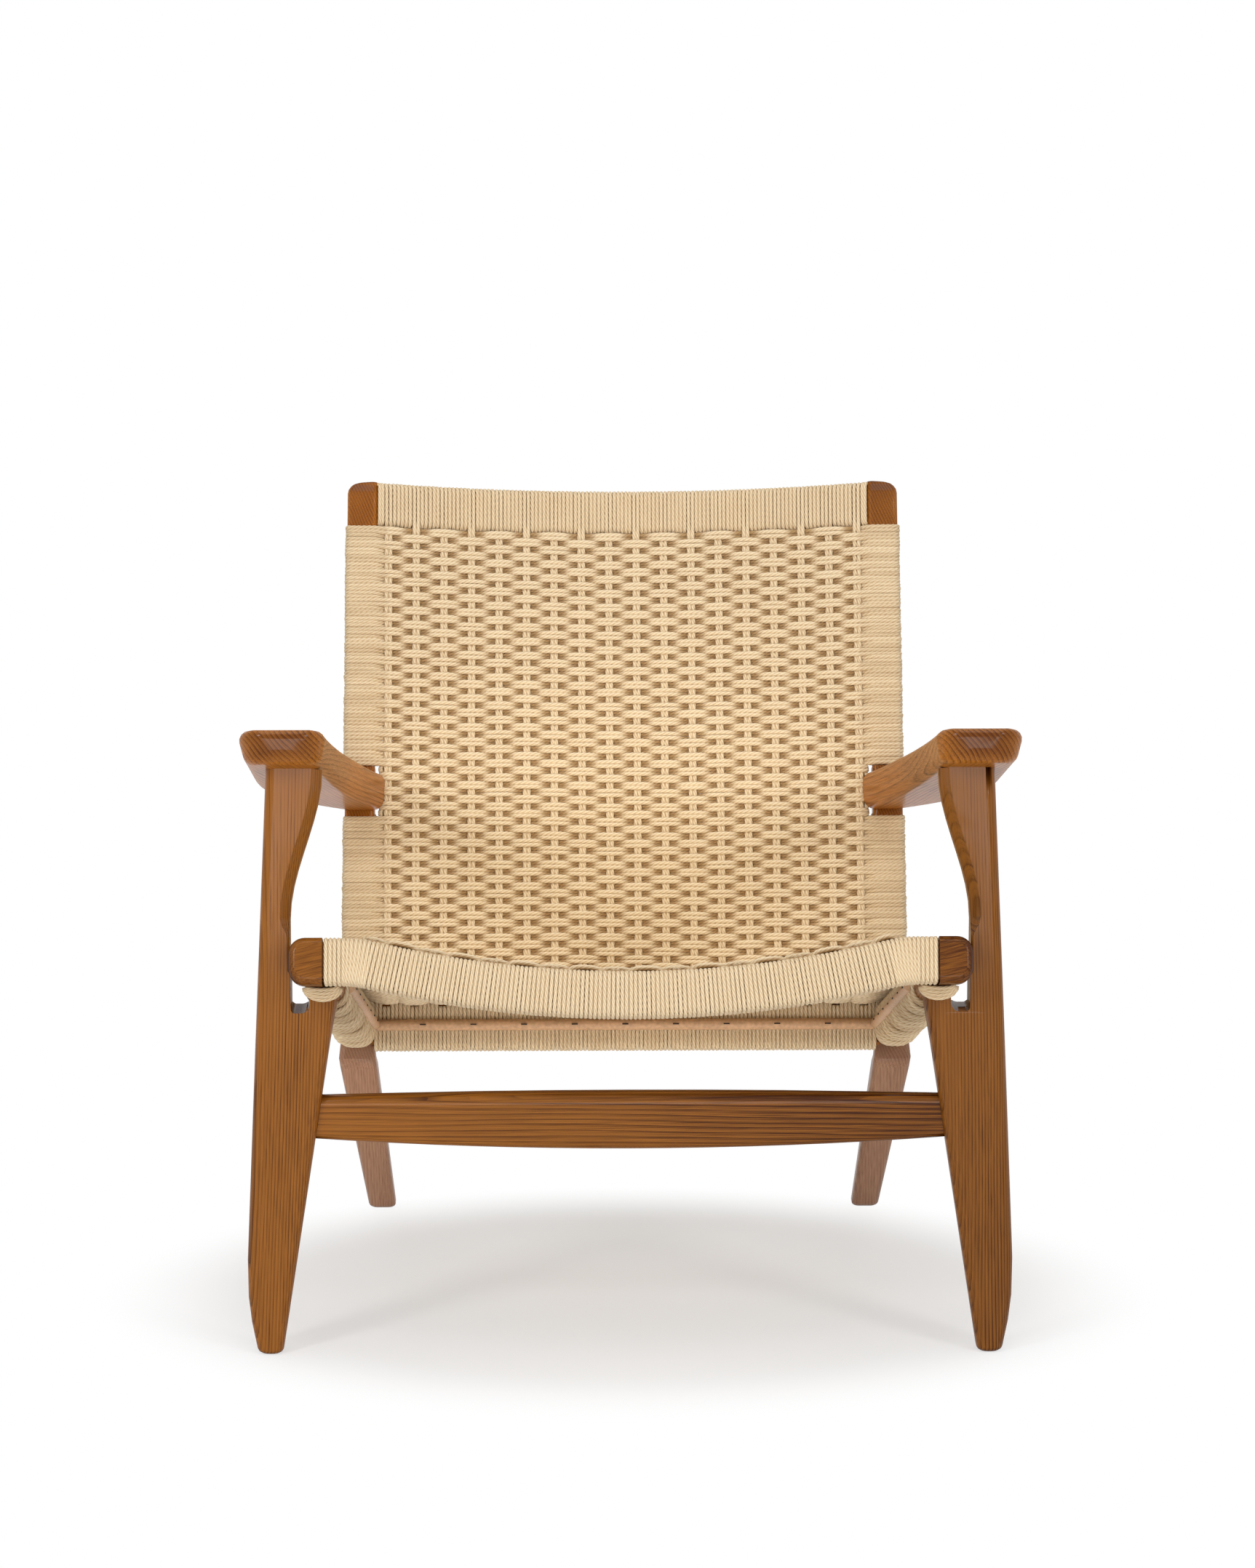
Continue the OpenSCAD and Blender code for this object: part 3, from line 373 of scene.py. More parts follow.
def sawn(node, name, material, smooth=shaping["smooth"]):
    # smooth copy of a shaped wooden piece, its triangles welded and its flats kept flat
    piece = bpy.data.objects.new(name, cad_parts[node].data.copy())
    bpy.context.scene.collection.objects.link(piece)
    bpy.ops.object.select_all(action="DESELECT")
    bpy.context.view_layer.objects.active = piece
    piece.select_set(True)
    bpy.ops.object.mode_set(mode="EDIT")
    bpy.ops.mesh.select_all(action="SELECT")
    bpy.ops.mesh.remove_doubles(threshold=shaping["weld"])
    bpy.ops.mesh.dissolve_limited(angle_limit=shaping["flat"])
    bpy.ops.object.mode_set(mode="OBJECT")
    bpy.ops.object.shade_smooth_by_angle(angle=smooth)
    piece.modifiers.new("flats", "WEIGHTED_NORMAL").keep_sharp = True
    bpy.ops.object.modifier_apply(modifier="flats")
    piece.data.materials.clear()
    piece.data.materials.append(material)
    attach(piece, "root")
    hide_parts(node)


frontLeg = {
    "grain": (-0.033, 0, 1),     # on the right-hand side, as shift is
    "across": (1, 0.1, 0),
    "shift": (0.4, 0, 0.3),
    "darkening": -0.4,
}
rearLeg = {
    "grain": kneePoint - Vector((0, chair["rearFoot"] + depthShift, 0)),     # along the lower leg
    "across": (1, 0.1, 0),
    "shift": (0.7, 0, 0.6),
    "paintedSheenBelow": 0.36,
    "lines": 0.45,
}
armrest = {
    "grain": (-0.12, 1, -0.28),
    "across": (0.5, 0, 1),
    "shift": (1.1, 0.4, 0),
    "tone": 1.35,
    "lines": 0.6,
    "lineSpacing": 4 * mm,
}
stretcher = {
    "grain": (1, 0.02, 0.015),
    "across": (0, 0.4, 1),
    "shift": (0.2, 1.3, 0),
    "tone": 0.85,
    # the right-hand end is painted darker, as painted shade of light that falls from the left
    "darkening": 0.55,
}
frontRail = {
    "grain": (1, 0.05, 0.3),
    "across": (0, 1, 0.4),
    "shift": (0.9, 0.1, 0.5),
    "tone": 0.95,
    # the right-hand end is painted darker, as painted shade of light that falls from the left
    "darkening": 0.45,
    "lines": 0.35,
}


rearPaintedLight = 1.9     # how much paler the rear legs' colours are than the front legs', as painted light and sheen


def onSide(wood, sign, **changes):
    # a wood on the left (-1) or the right (1), leaning the other way on the left
    grain, shift = [(wood[key][0] * sign, *wood[key][1:]) for key in ("grain", "shift")]
    return {**wood, "grain": grain, "shift": shift, **changes}


# tone paints the right-hand legs darker than the left-hand ones, as painted shade of light that falls more
# from the left
for side, sign, tone in (("left", -1, 0.87), ("right", 1, 0.68)):
    cap = side.capitalize()
    sawn("front_leg_" + side, "frontLeg" + cap,
         stainedWood("frontLegWood" + cap, **onSide(frontLeg, sign, tone=tone)))
    sawn("rear_leg_" + side, "rearLeg" + cap,
         stainedWood("rearLegWood" + cap, **onSide(rearLeg, sign, tone=tone * rearPaintedLight)),
         shaping["kneeSmooth"])
    sawn("armrest_" + side, "armrest" + cap,
         stainedWood("armrestWood" + cap, **onSide(armrest, sign, darkening=-0.1 - 0.2 * sign)))
sawn("front_stretcher", "frontStretcher", stainedWood("stretcherWood", **stretcher))
sawn("seat_front_rail", "seatFrontRail", stainedWood("frontRailWood", **frontRail))
railWood = stainedWood("railWood", (0, 1, -0.3), (1, 0.2, 0), (0, 0, 0.2))
crossWood = stainedWood("crossRailWood", (1, 0, 0), (0, 1, 0.3), (0, 0.8, 0))


def paint(material, *nodes):
    for node in nodes:
        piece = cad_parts[node]
        piece.data.materials.clear()
        piece.data.materials.append(material)


paint(railWood, "seat_side_rail_left", "seat_side_rail_right")
paint(crossWood, "seat_rear_rail", "back_top_rail", "back_bottom_rail")
paint(battenMaterial, "front_batten", "rear_batten", "side_batten_left", "side_batten_right")
paint(stapleMaterial, "batten_staples")
paint(dowelMaterial, *(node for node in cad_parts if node.endswith("_dowels")))
print("wooden pieces ready")


cord = {
    "radius": 1.9 * mm,
    "ridge": 2.02 * mm,        # radius at the middle of a strand
    "valley": 1.64 * mm,       # radius between two strands
    "loose": 22 * mm,          # length of one full turn of a strand, on the rails
    "tight": 20 * mm,          # and in the weave
    "ringsPerTurn": 7.6,
    "slot": 27.8 / 7 * mm,     # room of one cord on a rail: two warps and five turns to a warp pitch
    "warpPairs": 18,
}
warpPitch = cord["slot"] * 7
warpPlaces = np.array([(i - (cord["warpPairs"] - 1) / 2) * warpPitch for i in range(cord["warpPairs"])])
chance = np.random.default_rng(7)


class Skein:
    # gathers cords that run in one woven frame and makes one mesh of them
    def __init__(self, plane):
        self.plane = np.array(plane)
        self.points, self.uvs, self.faces, self.paintedShades = [], [], [], []
        self.count = 0

    def lay(self, path, reference, closed=False, hollow=0.0, behind=None, girth=1.0, turn=cord["loose"],
            phase=None):
        # path is a list of points in the woven frame, and reference isn't along it anywhere; the two
        # arguments after closed are the painted shade, for how deep the cord lies, on the sitter's side and
        # on its other side
        phase = chance.uniform() if phase is None else phase + chance.normal(0, 0.02)
        values = (hollow, hollow if behind is None else behind, girth)
        path = np.column_stack((np.asarray(path, float), *(np.broadcast_to(v, len(path)) for v in values)))
        if closed:
            path = np.vstack((path, path[:1]))
        run = np.concatenate(([0], np.cumsum(np.linalg.norm(np.diff(path[:, :3], axis=0), axis=1))))
        length, strands, sides = run[-1], cordFinish["strands"], 2 * cordFinish["strands"]
        rings = max(6, round(length / turn * cord["ringsPerTurn"]))
        place = np.linspace(0, length, rings + 1)[:rings if closed else rings + 1]
        centre = np.stack([np.interp(place, run, path[:, k]) for k in range(6)], 1)
        centre, depth, rearDepth, thickness = centre[:, :3], centre[:, 3:4], centre[:, 4:5], centre[:, 5]
        # a closed cord makes whole steps from strand to strand, so that its ends meet
        steps = round(length / turn * strands)
        turns = steps / strands if closed else length / turn
        side = np.arange(sides)
        angle = 2 * math.pi * (phase - turns * place[:, None] / length + side / sides)[..., None]
        up, out = self.crossAxes(centre, reference, closed)
        outward = np.cos(angle) * up[:, None] + np.sin(angle) * out[:, None]
        radius = np.where(side % 2, cord["valley"], cord["ridge"]) * thickness[:, None]
        ring = centre[:, None] + radius[..., None] * outward
        front = np.clip(0.5 + outward[..., 2], 0, 1)
        self.points.append(ring.reshape(-1, 3) @ self.plane[:3, :3].T + self.plane[:3, 3])
        # painted shade for how deep the cord lies, by which side of it faces the sitter
        self.paintedShades.append((depth * front + rearDepth * (1 - front)).ravel())
        grain = np.append(place, length) + chance.uniform(0, 0.5)
        self.skin(grain, rings, sides, 2 * steps if closed else None)
        self.count += len(centre) * sides

    def crossAxes(self, centre, reference, closed):
        # two directions across a cord at each of its rings
        if closed:
            way = np.roll(centre, -1, 0) - np.roll(centre, 1, 0)
        else:
            way = np.vstack((centre[1:], centre[-1:])) - np.vstack((centre[:1], centre[:-1]))
        way /= np.linalg.norm(way, axis=1)[:, None]
        reference = np.asarray(reference, float)
        up = reference - (way @ reference)[:, None] * way
        up /= np.linalg.norm(up, axis=1)[:, None]
        return up, np.cross(way, up)

    def skin(self, grain, rings, sides, twist):
        # faces and UVs from ring to ring; twist is how many sides a closed cord's last ring is turned
        i, k = np.divmod(np.arange(rings * sides), sides)
        ahead, beside, shift = i + 1, (k + 1) % sides, np.zeros_like(i)
        if twist is not None:
            shift = np.where(ahead == rings, -twist, 0)
            ahead = ahead % rings
        far, farBeside = (k + shift) % sides, (beside + shift) % sides
        quads = np.stack((i * sides + k, i * sides + beside,
                          ahead * sides + farBeside, ahead * sides + far), 1)
        self.faces.append(quads + self.count)
        uv = np.stack((grain[i], k / sides, grain[i], (k + 1) / sides,
                       grain[i + 1], (k + 1) / sides, grain[i + 1], k / sides), 1)
        self.uvs.append(uv.reshape(-1, 2))
        if twist is None:
            cap = np.array([(s + 2, s + 1, s, 0) for s in range(1, sides - 1, 2)])
            self.faces.append(np.vstack((cap, cap[:, ::-1] + rings * sides)) + self.count)
            self.uvs.append(np.zeros((8 * len(cap), 2)))

    def finish(self, name, *replaced):
        mesh = bpy.data.meshes.new(name)
        faces = np.vstack(self.faces)
        mesh.from_pydata(np.vstack(self.points), [], faces.tolist())
        uvs = np.vstack(self.uvs).astype(np.float32)
        mesh.uv_layers.new(name="cord").data.foreach_set("uv", uvs.ravel())
        # the painted shade of each corner, read by the cord's material
        hollow = mesh.attributes.new("hollow", "FLOAT", "POINT")
        hollow.data.foreach_set("value", np.concatenate(self.paintedShades).astype(np.float32))
        mesh.materials.append(cordMaterial)
        mesh.polygons.foreach_set("use_smooth", [True] * len(faces))
        piece = bpy.data.objects.new(name, mesh)
        bpy.context.scene.collection.objects.link(piece)
        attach(piece, "root")
        if replaced:
            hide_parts(*replaced)
        print(name, "has", 2 * len(faces), "triangles")


def bend(centre, radius, start, end, steps):
    # points of an arc in a plane, angles in degrees
    angles = np.radians(np.linspace(start, end, steps + 1))
    return np.stack((centre[0] + radius * np.cos(angles), centre[1] + radius * np.sin(angles)), 1)


def roundedLoop(a, b, upper, lower):
    # closed outline with half sizes a and b and two corner radii, from the +a side over the top
    return np.vstack((bend((a - upper, b - upper), upper, 0, 90, 6),
                      bend((upper - a, b - upper), upper, 90, 180, 6),
                      bend((lower - a, lower - b), lower, 180, 270, 6),
                      bend((a - lower, lower - b), lower, 270, 360, 6)))


class EndBar:
    # rail that the warps turn round; it is wound from end to end
    def __init__(self, place, height, depth, reach, bar):
        self.place = place          # middle of the rail along the warps
        self.halfAlong = height / 2 - cord["radius"]
        self.halfOut = depth / 2 - cord["radius"]
        self.corner = 5.1 * mm
        self.slots = int((reach - cord["radius"]) / cord["slot"])     # on each side of the middle
        self.far = np.linspace(0, reach, 400)
        self.level, self.lean = bar(self.far)       # centre line's height and lean at these distances
        self.atSurface = self.far - self.halfOut * np.sin(self.lean)

    def height(self, x):
        # centre line's height under a place x of the outer face
        return np.interp(np.abs(x), self.atSurface, self.level)

    def middle(self, x):
        # centre and outward direction of the rail where its outer face is x from the middle
        sign = -1 if x < 0 else 1
        far = np.interp(abs(x), self.atSurface, self.far)
        lean = np.interp(far, self.far, self.lean) * sign
        return (np.array((far * sign, self.place, np.interp(far, self.far, self.level))),
                np.array((-math.sin(lean), 0.0, math.cos(lean))))

    def onRail(self, x, flat):
        centre, out = self.middle(x)
        return centre + flat[:, :1] * np.array((0, 1, 0)) + flat[:, 1:] * out

    def wrap(self, x, side):
        # nearly a full turn that ends on the outer face, about to leave towards +side
        a, b, r = self.halfAlong, self.halfOut, self.corner
        flat = np.vstack(([(a, b - r - 2 * mm)], bend((a - r, r - b), r, 0, -90, 5),
                          bend((r - a, r - b), r, 270, 180, 5), bend((r - a, b - r), r, 180, 90, 5),
                          [(0, b)], [(a - r, b)]))
        flat[:, 0] *= side
        return self.onRail(x, flat)

    def wind(self, skein):
        for i in range(-self.slots, self.slots + 1):
            x = i * cord["slot"]
            if np.abs(warpPlaces - x).min() < 0.75 * cord["slot"]:
                continue
            across = np.cross(self.middle(x)[1], (0, 1, 0))
            path = self.onRail(x, roundedLoop(self.halfAlong, self.halfOut, self.corner, self.corner))
            lean, shift = chance.uniform(-0.16, 0.16) * mm, chance.uniform(-0.08, 0.08) * mm
            sway = shift + lean * np.sin(np.linspace(0, 2 * math.pi, len(path), endpoint=False))
            # each winding gets a little painted shade
            skein.lay(path + across * sway[:, None], across, closed=True, hollow=0.14, girth=1.08,
                      phase=i * 0.03)


class SideBar:
    # upright or side rail that the wefts turn round
    def __init__(self, x, lean, width, depth, out, upper, lower, droop):
        self.x = x                  # centre line from the middle, at the start of the warps
        self.lean = lean            # how much it comes in over a unit of length
        self.halfAcross = width / 2 + cord["radius"]
        self.halfOut = depth / 2 + cord["radius"]
        self.out = out              # centre line towards the sitter
        self.upper, self.lower = upper + cord["radius"], lower + cord["radius"]     # corner radii
        self.droop = droop          # how far the slackest turns hang off it

    def centre(self, along):
        return self.x - along * self.lean

    def loop(self, along):
        flat = roundedLoop(self.halfAcross, self.halfOut, self.upper, self.lower)
        return np.stack((self.centre(along) + flat[:, 0], np.full(len(flat), along),
                         self.out + flat[:, 1]), 1)

    def wrap(self, along, step):
        # from the outer face round the bar to the inner side, a little further along at the end
        a, b, r, low = self.halfAcross, self.halfOut, self.upper, self.lower
        flat = np.vstack((bend((a - r, b - r), r, 90, 0, 6), bend((a - low, low - b), low, 0, -90, 8),
                          bend((low - a, low - b), low, 270, 180, 8), [(-a, b - r - 2 * mm)]))
        rise = np.linspace(0, step, len(flat))
        return np.stack((self.centre(along) + flat[:, 0], along + rise, self.out + flat[:, 1]), 1)


weave = {
    "warpLift": 1.35 * mm,      # how far a warp rises from the middle of the weave
    "warpGirth": 1.2,           # thickness of the warps
    "warpClosing": 0.5 * mm,    # how far a pair of them closes up where it passes over a weft
    "weftLift": 2.35 * mm,
    "weftGirth": 1.22,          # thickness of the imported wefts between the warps
    "fullness": 0.08,           # how much thicker they are on a warp
    "flatness": 1.6,            # how flat a weft lies over and under the warps
    "slack": 0.45 * mm,         # how far a weft drifts sideways
    "waves": ((11, 1.0), (29, 0.7), (61, 0.5)),     # of that drift: how close they are and how strong
    "swell": 0.55 * mm,         # how far the two cords of a row part where they lie on a warp
    "hook": 5.6 * mm,           # how far a weft reaches out where it turns round the last warps
}


class Panel:
    # plain weave of paired wefts over and under paired warps
    def __init__(self, startBar, endBar, sideBar, start, end, surface, rows):
        self.startBar, self.endBar, self.sideBar = startBar, endBar, sideBar
        self.start, self.end, self.surface, self.rows = start, end, surface, rows
        self.pitch = (end - start) / rows
        self.drift = chance.uniform(0, 6, 3)
        self.bunch, self.turnsLeft = 1, 0

    def share(self, along):
        return (along - self.start) / (self.end - self.start)

    def warps(self, skein):
        along = np.linspace(self.start + 0.5 * self.pitch, self.end - 0.5 * self.pitch,
                            (self.rows - 1) * 4 + 1)
        row = (along - self.start) / self.pitch - 0.5
        for j, middle in enumerate(warpPlaces):
            lift = np.cos(math.pi * row) * (-1 if j % 2 else 1)
            for half in (-0.5, 0.5):
                x = middle + half * cord["slot"]
                out = self.surface(x, self.share(along)) + lift * weave["warpLift"]
                sway = chance.uniform(-0.25, 0.25) * mm * np.sin(along * 30 + chance.uniform(0, 6))
                place = x - half * weave["warpClosing"] * np.clip(lift, 0, 1)
                span = np.stack((place + sway, along, out), 1)
                first = self.startBar.wrap(x, 1)
                last = self.endBar.wrap(x, -1)[::-1]
                starts, stops = np.ones(len(first)), np.ones(len(last))
                # painted shade where a warp dips under the wefts, on the sitter's side and behind
                hollow, behind = [np.concatenate((starts * 0.08, np.clip(0.5 - rise * 0.6, 0.1, 1),
                                                  stops * 0.08)) for rise in (lift, -lift)]
                girth = np.concatenate((starts, np.full(len(span), weave["warpGirth"]), stops))
                skein.lay(np.vstack((first, span, last)), (1, 0, 0), hollow=hollow, behind=behind,
                          girth=girth)

    def crossing(self, row):
        # heights of a weft from the first warps to the last ones, over and under them
        steps = (len(warpPlaces) - 1) * 12
        x = np.linspace(warpPlaces[0], warpPlaces[-1], steps + 1)
        wave = np.cos(math.pi * (x - warpPlaces[0]) / warpPitch) * (-1 if row % 2 else 1)
        return x, np.tanh(weave["flatness"] * wave) / math.tanh(weave["flatness"])

    def wander(self, x):
        # slow sideways drift of a cord, which its neighbours nearly share
        self.drift += chance.normal(0, 0.3, 3)
        waves = sum(strong * np.sin(x * close + start)
                    for (close, strong), start in zip(weave["waves"], self.drift))
        return weave["slack"] * (waves + chance.uniform(-0.3, 0.3))

    def placeInBunch(self):
        # the turns on a side bar lie in bunches: 0 is the first turn of one and 1 its last
        if self.turnsLeft == 0:
            self.bunch = self.turnsLeft = chance.integers(3, 8)
        self.turnsLeft -= 1
        return 1 - self.turnsLeft / (self.bunch - 1)

    def roundBars(self, span, along):
        # both ends of a weft that turn round the side bars, and the painted shade they get for how deep
        # they lie
        bar = self.sideBar
        top = bar.out + bar.halfOut
        near = bar.centre(along) - bar.halfAcross + bar.upper
        t = np.linspace(0, 1, 9)[1:-1]
        reach = span[-1, 0] + (near - span[-1, 0]) * t
        t = t * t * (3 - 2 * t)
        inBunch = self.placeInBunch()
        slackness = bar.droop * (chance.uniform(0.8, 1.2) if inBunch == 1 else inBunch ** 2 * 0.5)
        swing = chance.uniform(-0.4, 0.4) * slackness
        ends = []
        for side, last in ((-1, 0), (1, -1)):
            place, out = span[last, 1:]
            offset = along + chance.uniform(-0.35, 0.35) * mm
            go = np.stack((side * reach, place + (offset - place) * t, out + (top - out) * t), 1)
            turn = bar.wrap(offset, self.pitch / 2)
            low = np.clip((bar.out - turn[:, 2]) / bar.halfOut, 0, 1)
            inner = np.clip((bar.centre(along) - turn[:, 0]) / bar.halfAcross, 0, 1)
            turn[:, 2] += chance.uniform(-0.2, 0.6) * mm * (1 - low) - low * slackness
            turn[:, 0] = side * (turn[:, 0] - low * inner * slackness * 0.5 + low * swing
                                 + chance.uniform(0, 0.8) * mm * (1 - inner))
            ends.append(np.vstack((go, turn)))
        # painted shade: a random amount for each weft, and more on the lower side of the turns tucked in
        # behind the slackest one of a bunch
        depth = np.full(len(ends[0]), chance.uniform(0.06, 0.40))
        if inBunch < 1 and bar.droop > mm:
            depth += 0.5 * np.clip((bar.out - ends[0][:, 2]) / bar.halfOut, 0, 1)
        return ends, depth

    def roundWarps(self, span, along, half):
        # both ends of a weft that turn back round the last warps, and the painted shade they get for how
        # deep they lie
        arc = bend((0, 0), 1, 75, -60, 7)
        ends = []
        for side, last in ((-1, 0), (1, -1)):
            x, place, out = span[last]
            middle = self.surface(x, self.share(along))
            sense = 1 if out > middle else -1
            ends.append(np.stack((x + side * (2.6 * mm + weave["hook"] * arc[:, 0]),
                                  place - half * 1.2 * mm * (1 - arc[:, 1]),
                                  middle + sense * weave["weftLift"] * arc[:, 1]), 1))
        return ends, np.full(len(ends[0]), 0.4)

    def wefts(self, skein, rowFrom, rowTo, wrapFrom):
        # from wrapFrom on the wefts turn round the side bars, and before it round the last warps
        for row in range(rowFrom, rowTo):
            for half in (-0.5, 0.5):
                along = self.start + (row + 0.5) * self.pitch + half * self.pitch / 2
                x, turn = self.crossing(row)
                onWarp = np.abs(turn) ** 1.5
                place = along + self.wander(x) + half * weave["swell"] * onWarp
                out = self.surface(x, self.share(along)) - turn * weave["weftLift"]
                span = np.stack((x, place, out), 1)
                if along >= wrapFrom:
                    ends, depth = self.roundBars(span, along)
                else:
                    ends, depth = self.roundWarps(span, along, half)
                # painted shade where the weft dips under the warps, on the sitter's side and behind
                hollow, behind = [np.concatenate((depth[::-1], np.clip(0.4 + dip * 0.8, 0.0, 1.0), depth))
                                  for dip in (turn, -turn)]
                outer = np.full(len(depth), chance.uniform(1.18, 1.32))
                girth = np.concatenate((outer, weave["weftGirth"] + weave["fullness"] * onWarp, outer))
                skein.lay(np.vstack((ends[0][::-1], span, ends[1])), (0, 1, 0), hollow=hollow,
                          behind=behind, girth=girth, turn=cord["tight"])


def bowed(radius, low):
    # centre line of a rail bent in an arc: its height and lean at distances from the middle
    def bar(far):
        return low + radius - np.sqrt(radius ** 2 - far ** 2), np.arcsin(far / radius)
    return bar


def straight(level):
    def bar(far):
        return np.full(len(far), level), np.zeros(len(far))
    return bar


frontDish = {
    "radius": 1022.58 * mm, "low": -21.4 * mm,     # the dished middle
    "arcTo": 238.65 * mm,                          # from here it turns level in a smaller arc
    "levelFrom": 262 * mm, "levelRadius": 100 * mm, "level": 9.6 * mm,
}


def dished(far):
    rise, lean = bowed(frontDish["radius"], frontDish["low"])(far)
    radius = frontDish["levelRadius"]
    rest = np.clip(frontDish["levelFrom"] - far, 0, 0.9 * radius)
    turned = frontDish["level"] - radius + np.sqrt(radius ** 2 - rest ** 2)
    inside = far < frontDish["arcTo"]
    return np.where(inside, rise, turned), np.where(inside, lean, np.arcsin(rest / radius))


print("weaving the seat")
seatPlan = {
    "start": -14.8 * mm,        # first row along the warps, on the front rail
    "end": 429 * mm,            # last row, at the rear rail
    "low": 18.5 * mm,           # middle of the weave over the front rail's centre line
    "high": 19 * mm,            # and over the side rails'
    "firstRise": 4.2 * mm,      # how much higher the first rows lie
    "firstReach": 0.07,         # share of the seat over which this fades
    "wrapFrom": 64.5 * mm,      # behind the front legs
    "parts": (("seatWeftsFront", 0, 24), ("seatWeftsMiddle", 24, 42), ("seatWeftsRear", 42, 60)),
}
seatToe = (chair["sideRailSpread"] - chair["uprightSpread"]) / 2 / chair["sideRailLength"]
seatFront = EndBar(place=-16 * mm, height=32 * mm, depth=43 * mm, reach=281.5 * mm, bar=dished)
seatRear = EndBar(place=seatPlan["end"] + 15 * mm, height=30 * mm, depth=52 * mm, reach=249 * mm,
                  bar=straight(-3.2 * mm))
sideRail = SideBar(x=chair["sideRailSpread"] / 2, lean=seatToe, width=32 * mm, depth=38 * mm, out=0,
                   upper=7 * mm, lower=12 * mm, droop=4.4 * mm)


def seatSurface(x, share):
    rise = seatPlan["firstRise"] * np.exp(-np.square(share / seatPlan["firstReach"]))
    return (seatFront.height(x) + seatPlan["low"]) * (1 - share) + seatPlan["high"] * share + rise


seat = Panel(seatFront, seatRear, sideRail, seatPlan["start"], seatPlan["end"], seatSurface, rows=60)
skein = Skein(seatFrame)
seat.warps(skein)
skein.finish("seatWarps")
replaced = ["seat_weave", "seat_side_winding_left", "seat_side_winding_right"]
for name, rowFrom, rowTo in seatPlan["parts"]:
    skein = Skein(seatFrame)
    seat.wefts(skein, rowFrom, rowTo, seatPlan["wrapFrom"])
    skein.finish(name, *replaced)
    replaced = []
skein = Skein(seatFrame)
seatFront.wind(skein)
skein.finish("seatFrontWinding", "seat_front_winding")
skein = Skein(seatFrame)
seatRear.wind(skein)
lastTurn = chair["sideRailLength"] - cord["radius"]
for along in np.arange(seatPlan["end"] + cord["slot"] / 2, lastTurn, cord["slot"]):
    for side in (-1, 1):
        skein.lay(sideRail.loop(along) * (side, 1, 1), (0, 1, 0), closed=True, girth=1.13)
skein.finish("seatRearWinding", "seat_rear_winding")

# the first turns on each side rail hang in small arcs under the end of the front rail
firstTurns = {
    "count": 4,
    "start": -4.32 * mm,        # first one along the side rail
    "spacing": 1.8 * mm,
    "deep": 2.4 * mm,           # how far it hangs down
    "drop": 3.0 * mm,           # and how much further each next one does
    "under": 12 * mm,           # how far their ends lie under the side rails' centre lines
    "depth": 0.42,              # how much painted shade they get for lying deep in the weave
}
skein = Skein(seatFrame)
arc = bend((0, 0), 1, 180, 360, 16)
for i in range(firstTurns["count"]):
    drop = i * firstTurns["drop"]
    wide = arc[:, 0] * (sideRail.halfAcross - 3 * mm + drop / 4)
    along = np.full(len(arc), firstTurns["start"] + i * firstTurns["spacing"])
    low = arc[:, 1] * (firstTurns["deep"] + drop) - firstTurns["under"]
    for side in (-1, 1):
        skein.lay(np.stack((side * (sideRail.centre(0) + wide), along, low), 1), (0, 1, 0),
                  hollow=firstTurns["depth"])
skein.finish("seatFirstTurns")

print("weaving the back")
backPlan = {
    "start": 87 * mm,
    "end": 548 * mm,
    "middle": -14 * mm,         # centre lines of uprights and rails, towards the sitter
    "bowRadius": 750.24 * mm,
    "bowChord": 247.5 * mm,     # half of it
    "bowDeep": 42 * mm,
    "surface": -1.8 * mm,
    "notch": (249.5 * mm, 301.5 * mm),     # bare wood for the armrests
    "lowRows": 20,              # rows of the lowest piece
    "middleRows": 42,           # and up to the end of the middle one
}
backTop = EndBar(place=571 * mm, height=46 * mm, depth=28 * mm, reach=249 * mm,
                 bar=bowed(backPlan["bowRadius"], backPlan["middle"] - backPlan["bowDeep"]))
backBottom = EndBar(place=68 * mm, height=38 * mm, depth=28 * mm, reach=252 * mm,
                    bar=straight(backPlan["middle"]))
upright = SideBar(x=chair["uprightSpread"] / 2, lean=3.5 / 594, width=25 * mm, depth=23 * mm,
                  out=backPlan["middle"], upper=3.1 * mm, lower=3.1 * mm, droop=0.2 * mm)


def backSurface(x, share):
    flat = math.sqrt(backPlan["bowRadius"] ** 2 - backPlan["bowChord"] ** 2)
    return (flat - np.sqrt(backPlan["bowRadius"] ** 2 - np.square(x))) * share + backPlan["surface"]


back = Panel(backBottom, backTop, upright, backPlan["start"], backPlan["end"], backSurface, rows=62)
notchFrom, notchTo = [round((place - backPlan["start"]) / back.pitch) for place in backPlan["notch"]]
skein = Skein(backFrame)
back.warps(skein)
skein.finish("backWarps")
skein = Skein(backFrame)
back.wefts(skein, 0, backPlan["lowRows"], wrapFrom=0)
skein.finish("backWeftsLow", "back_weave", "back_side_winding_left", "back_side_winding_right")
skein = Skein(backFrame)
back.wefts(skein, backPlan["lowRows"], notchFrom, wrapFrom=0)
back.wefts(skein, notchFrom, notchTo, wrapFrom=1)
back.wefts(skein, notchTo, backPlan["middleRows"], wrapFrom=0)
skein.finish("backWeftsMiddle")
skein = Skein(backFrame)
back.wefts(skein, backPlan["middleRows"], back.rows, wrapFrom=0)
skein.finish("backWeftsHigh")
skein = Skein(backFrame)
backTop.wind(skein)
skein.finish("backTopWinding", "back_top_winding")
skein = Skein(backFrame)
backBottom.wind(skein)
skein.finish("backBottomWinding", "back_bottom_winding")


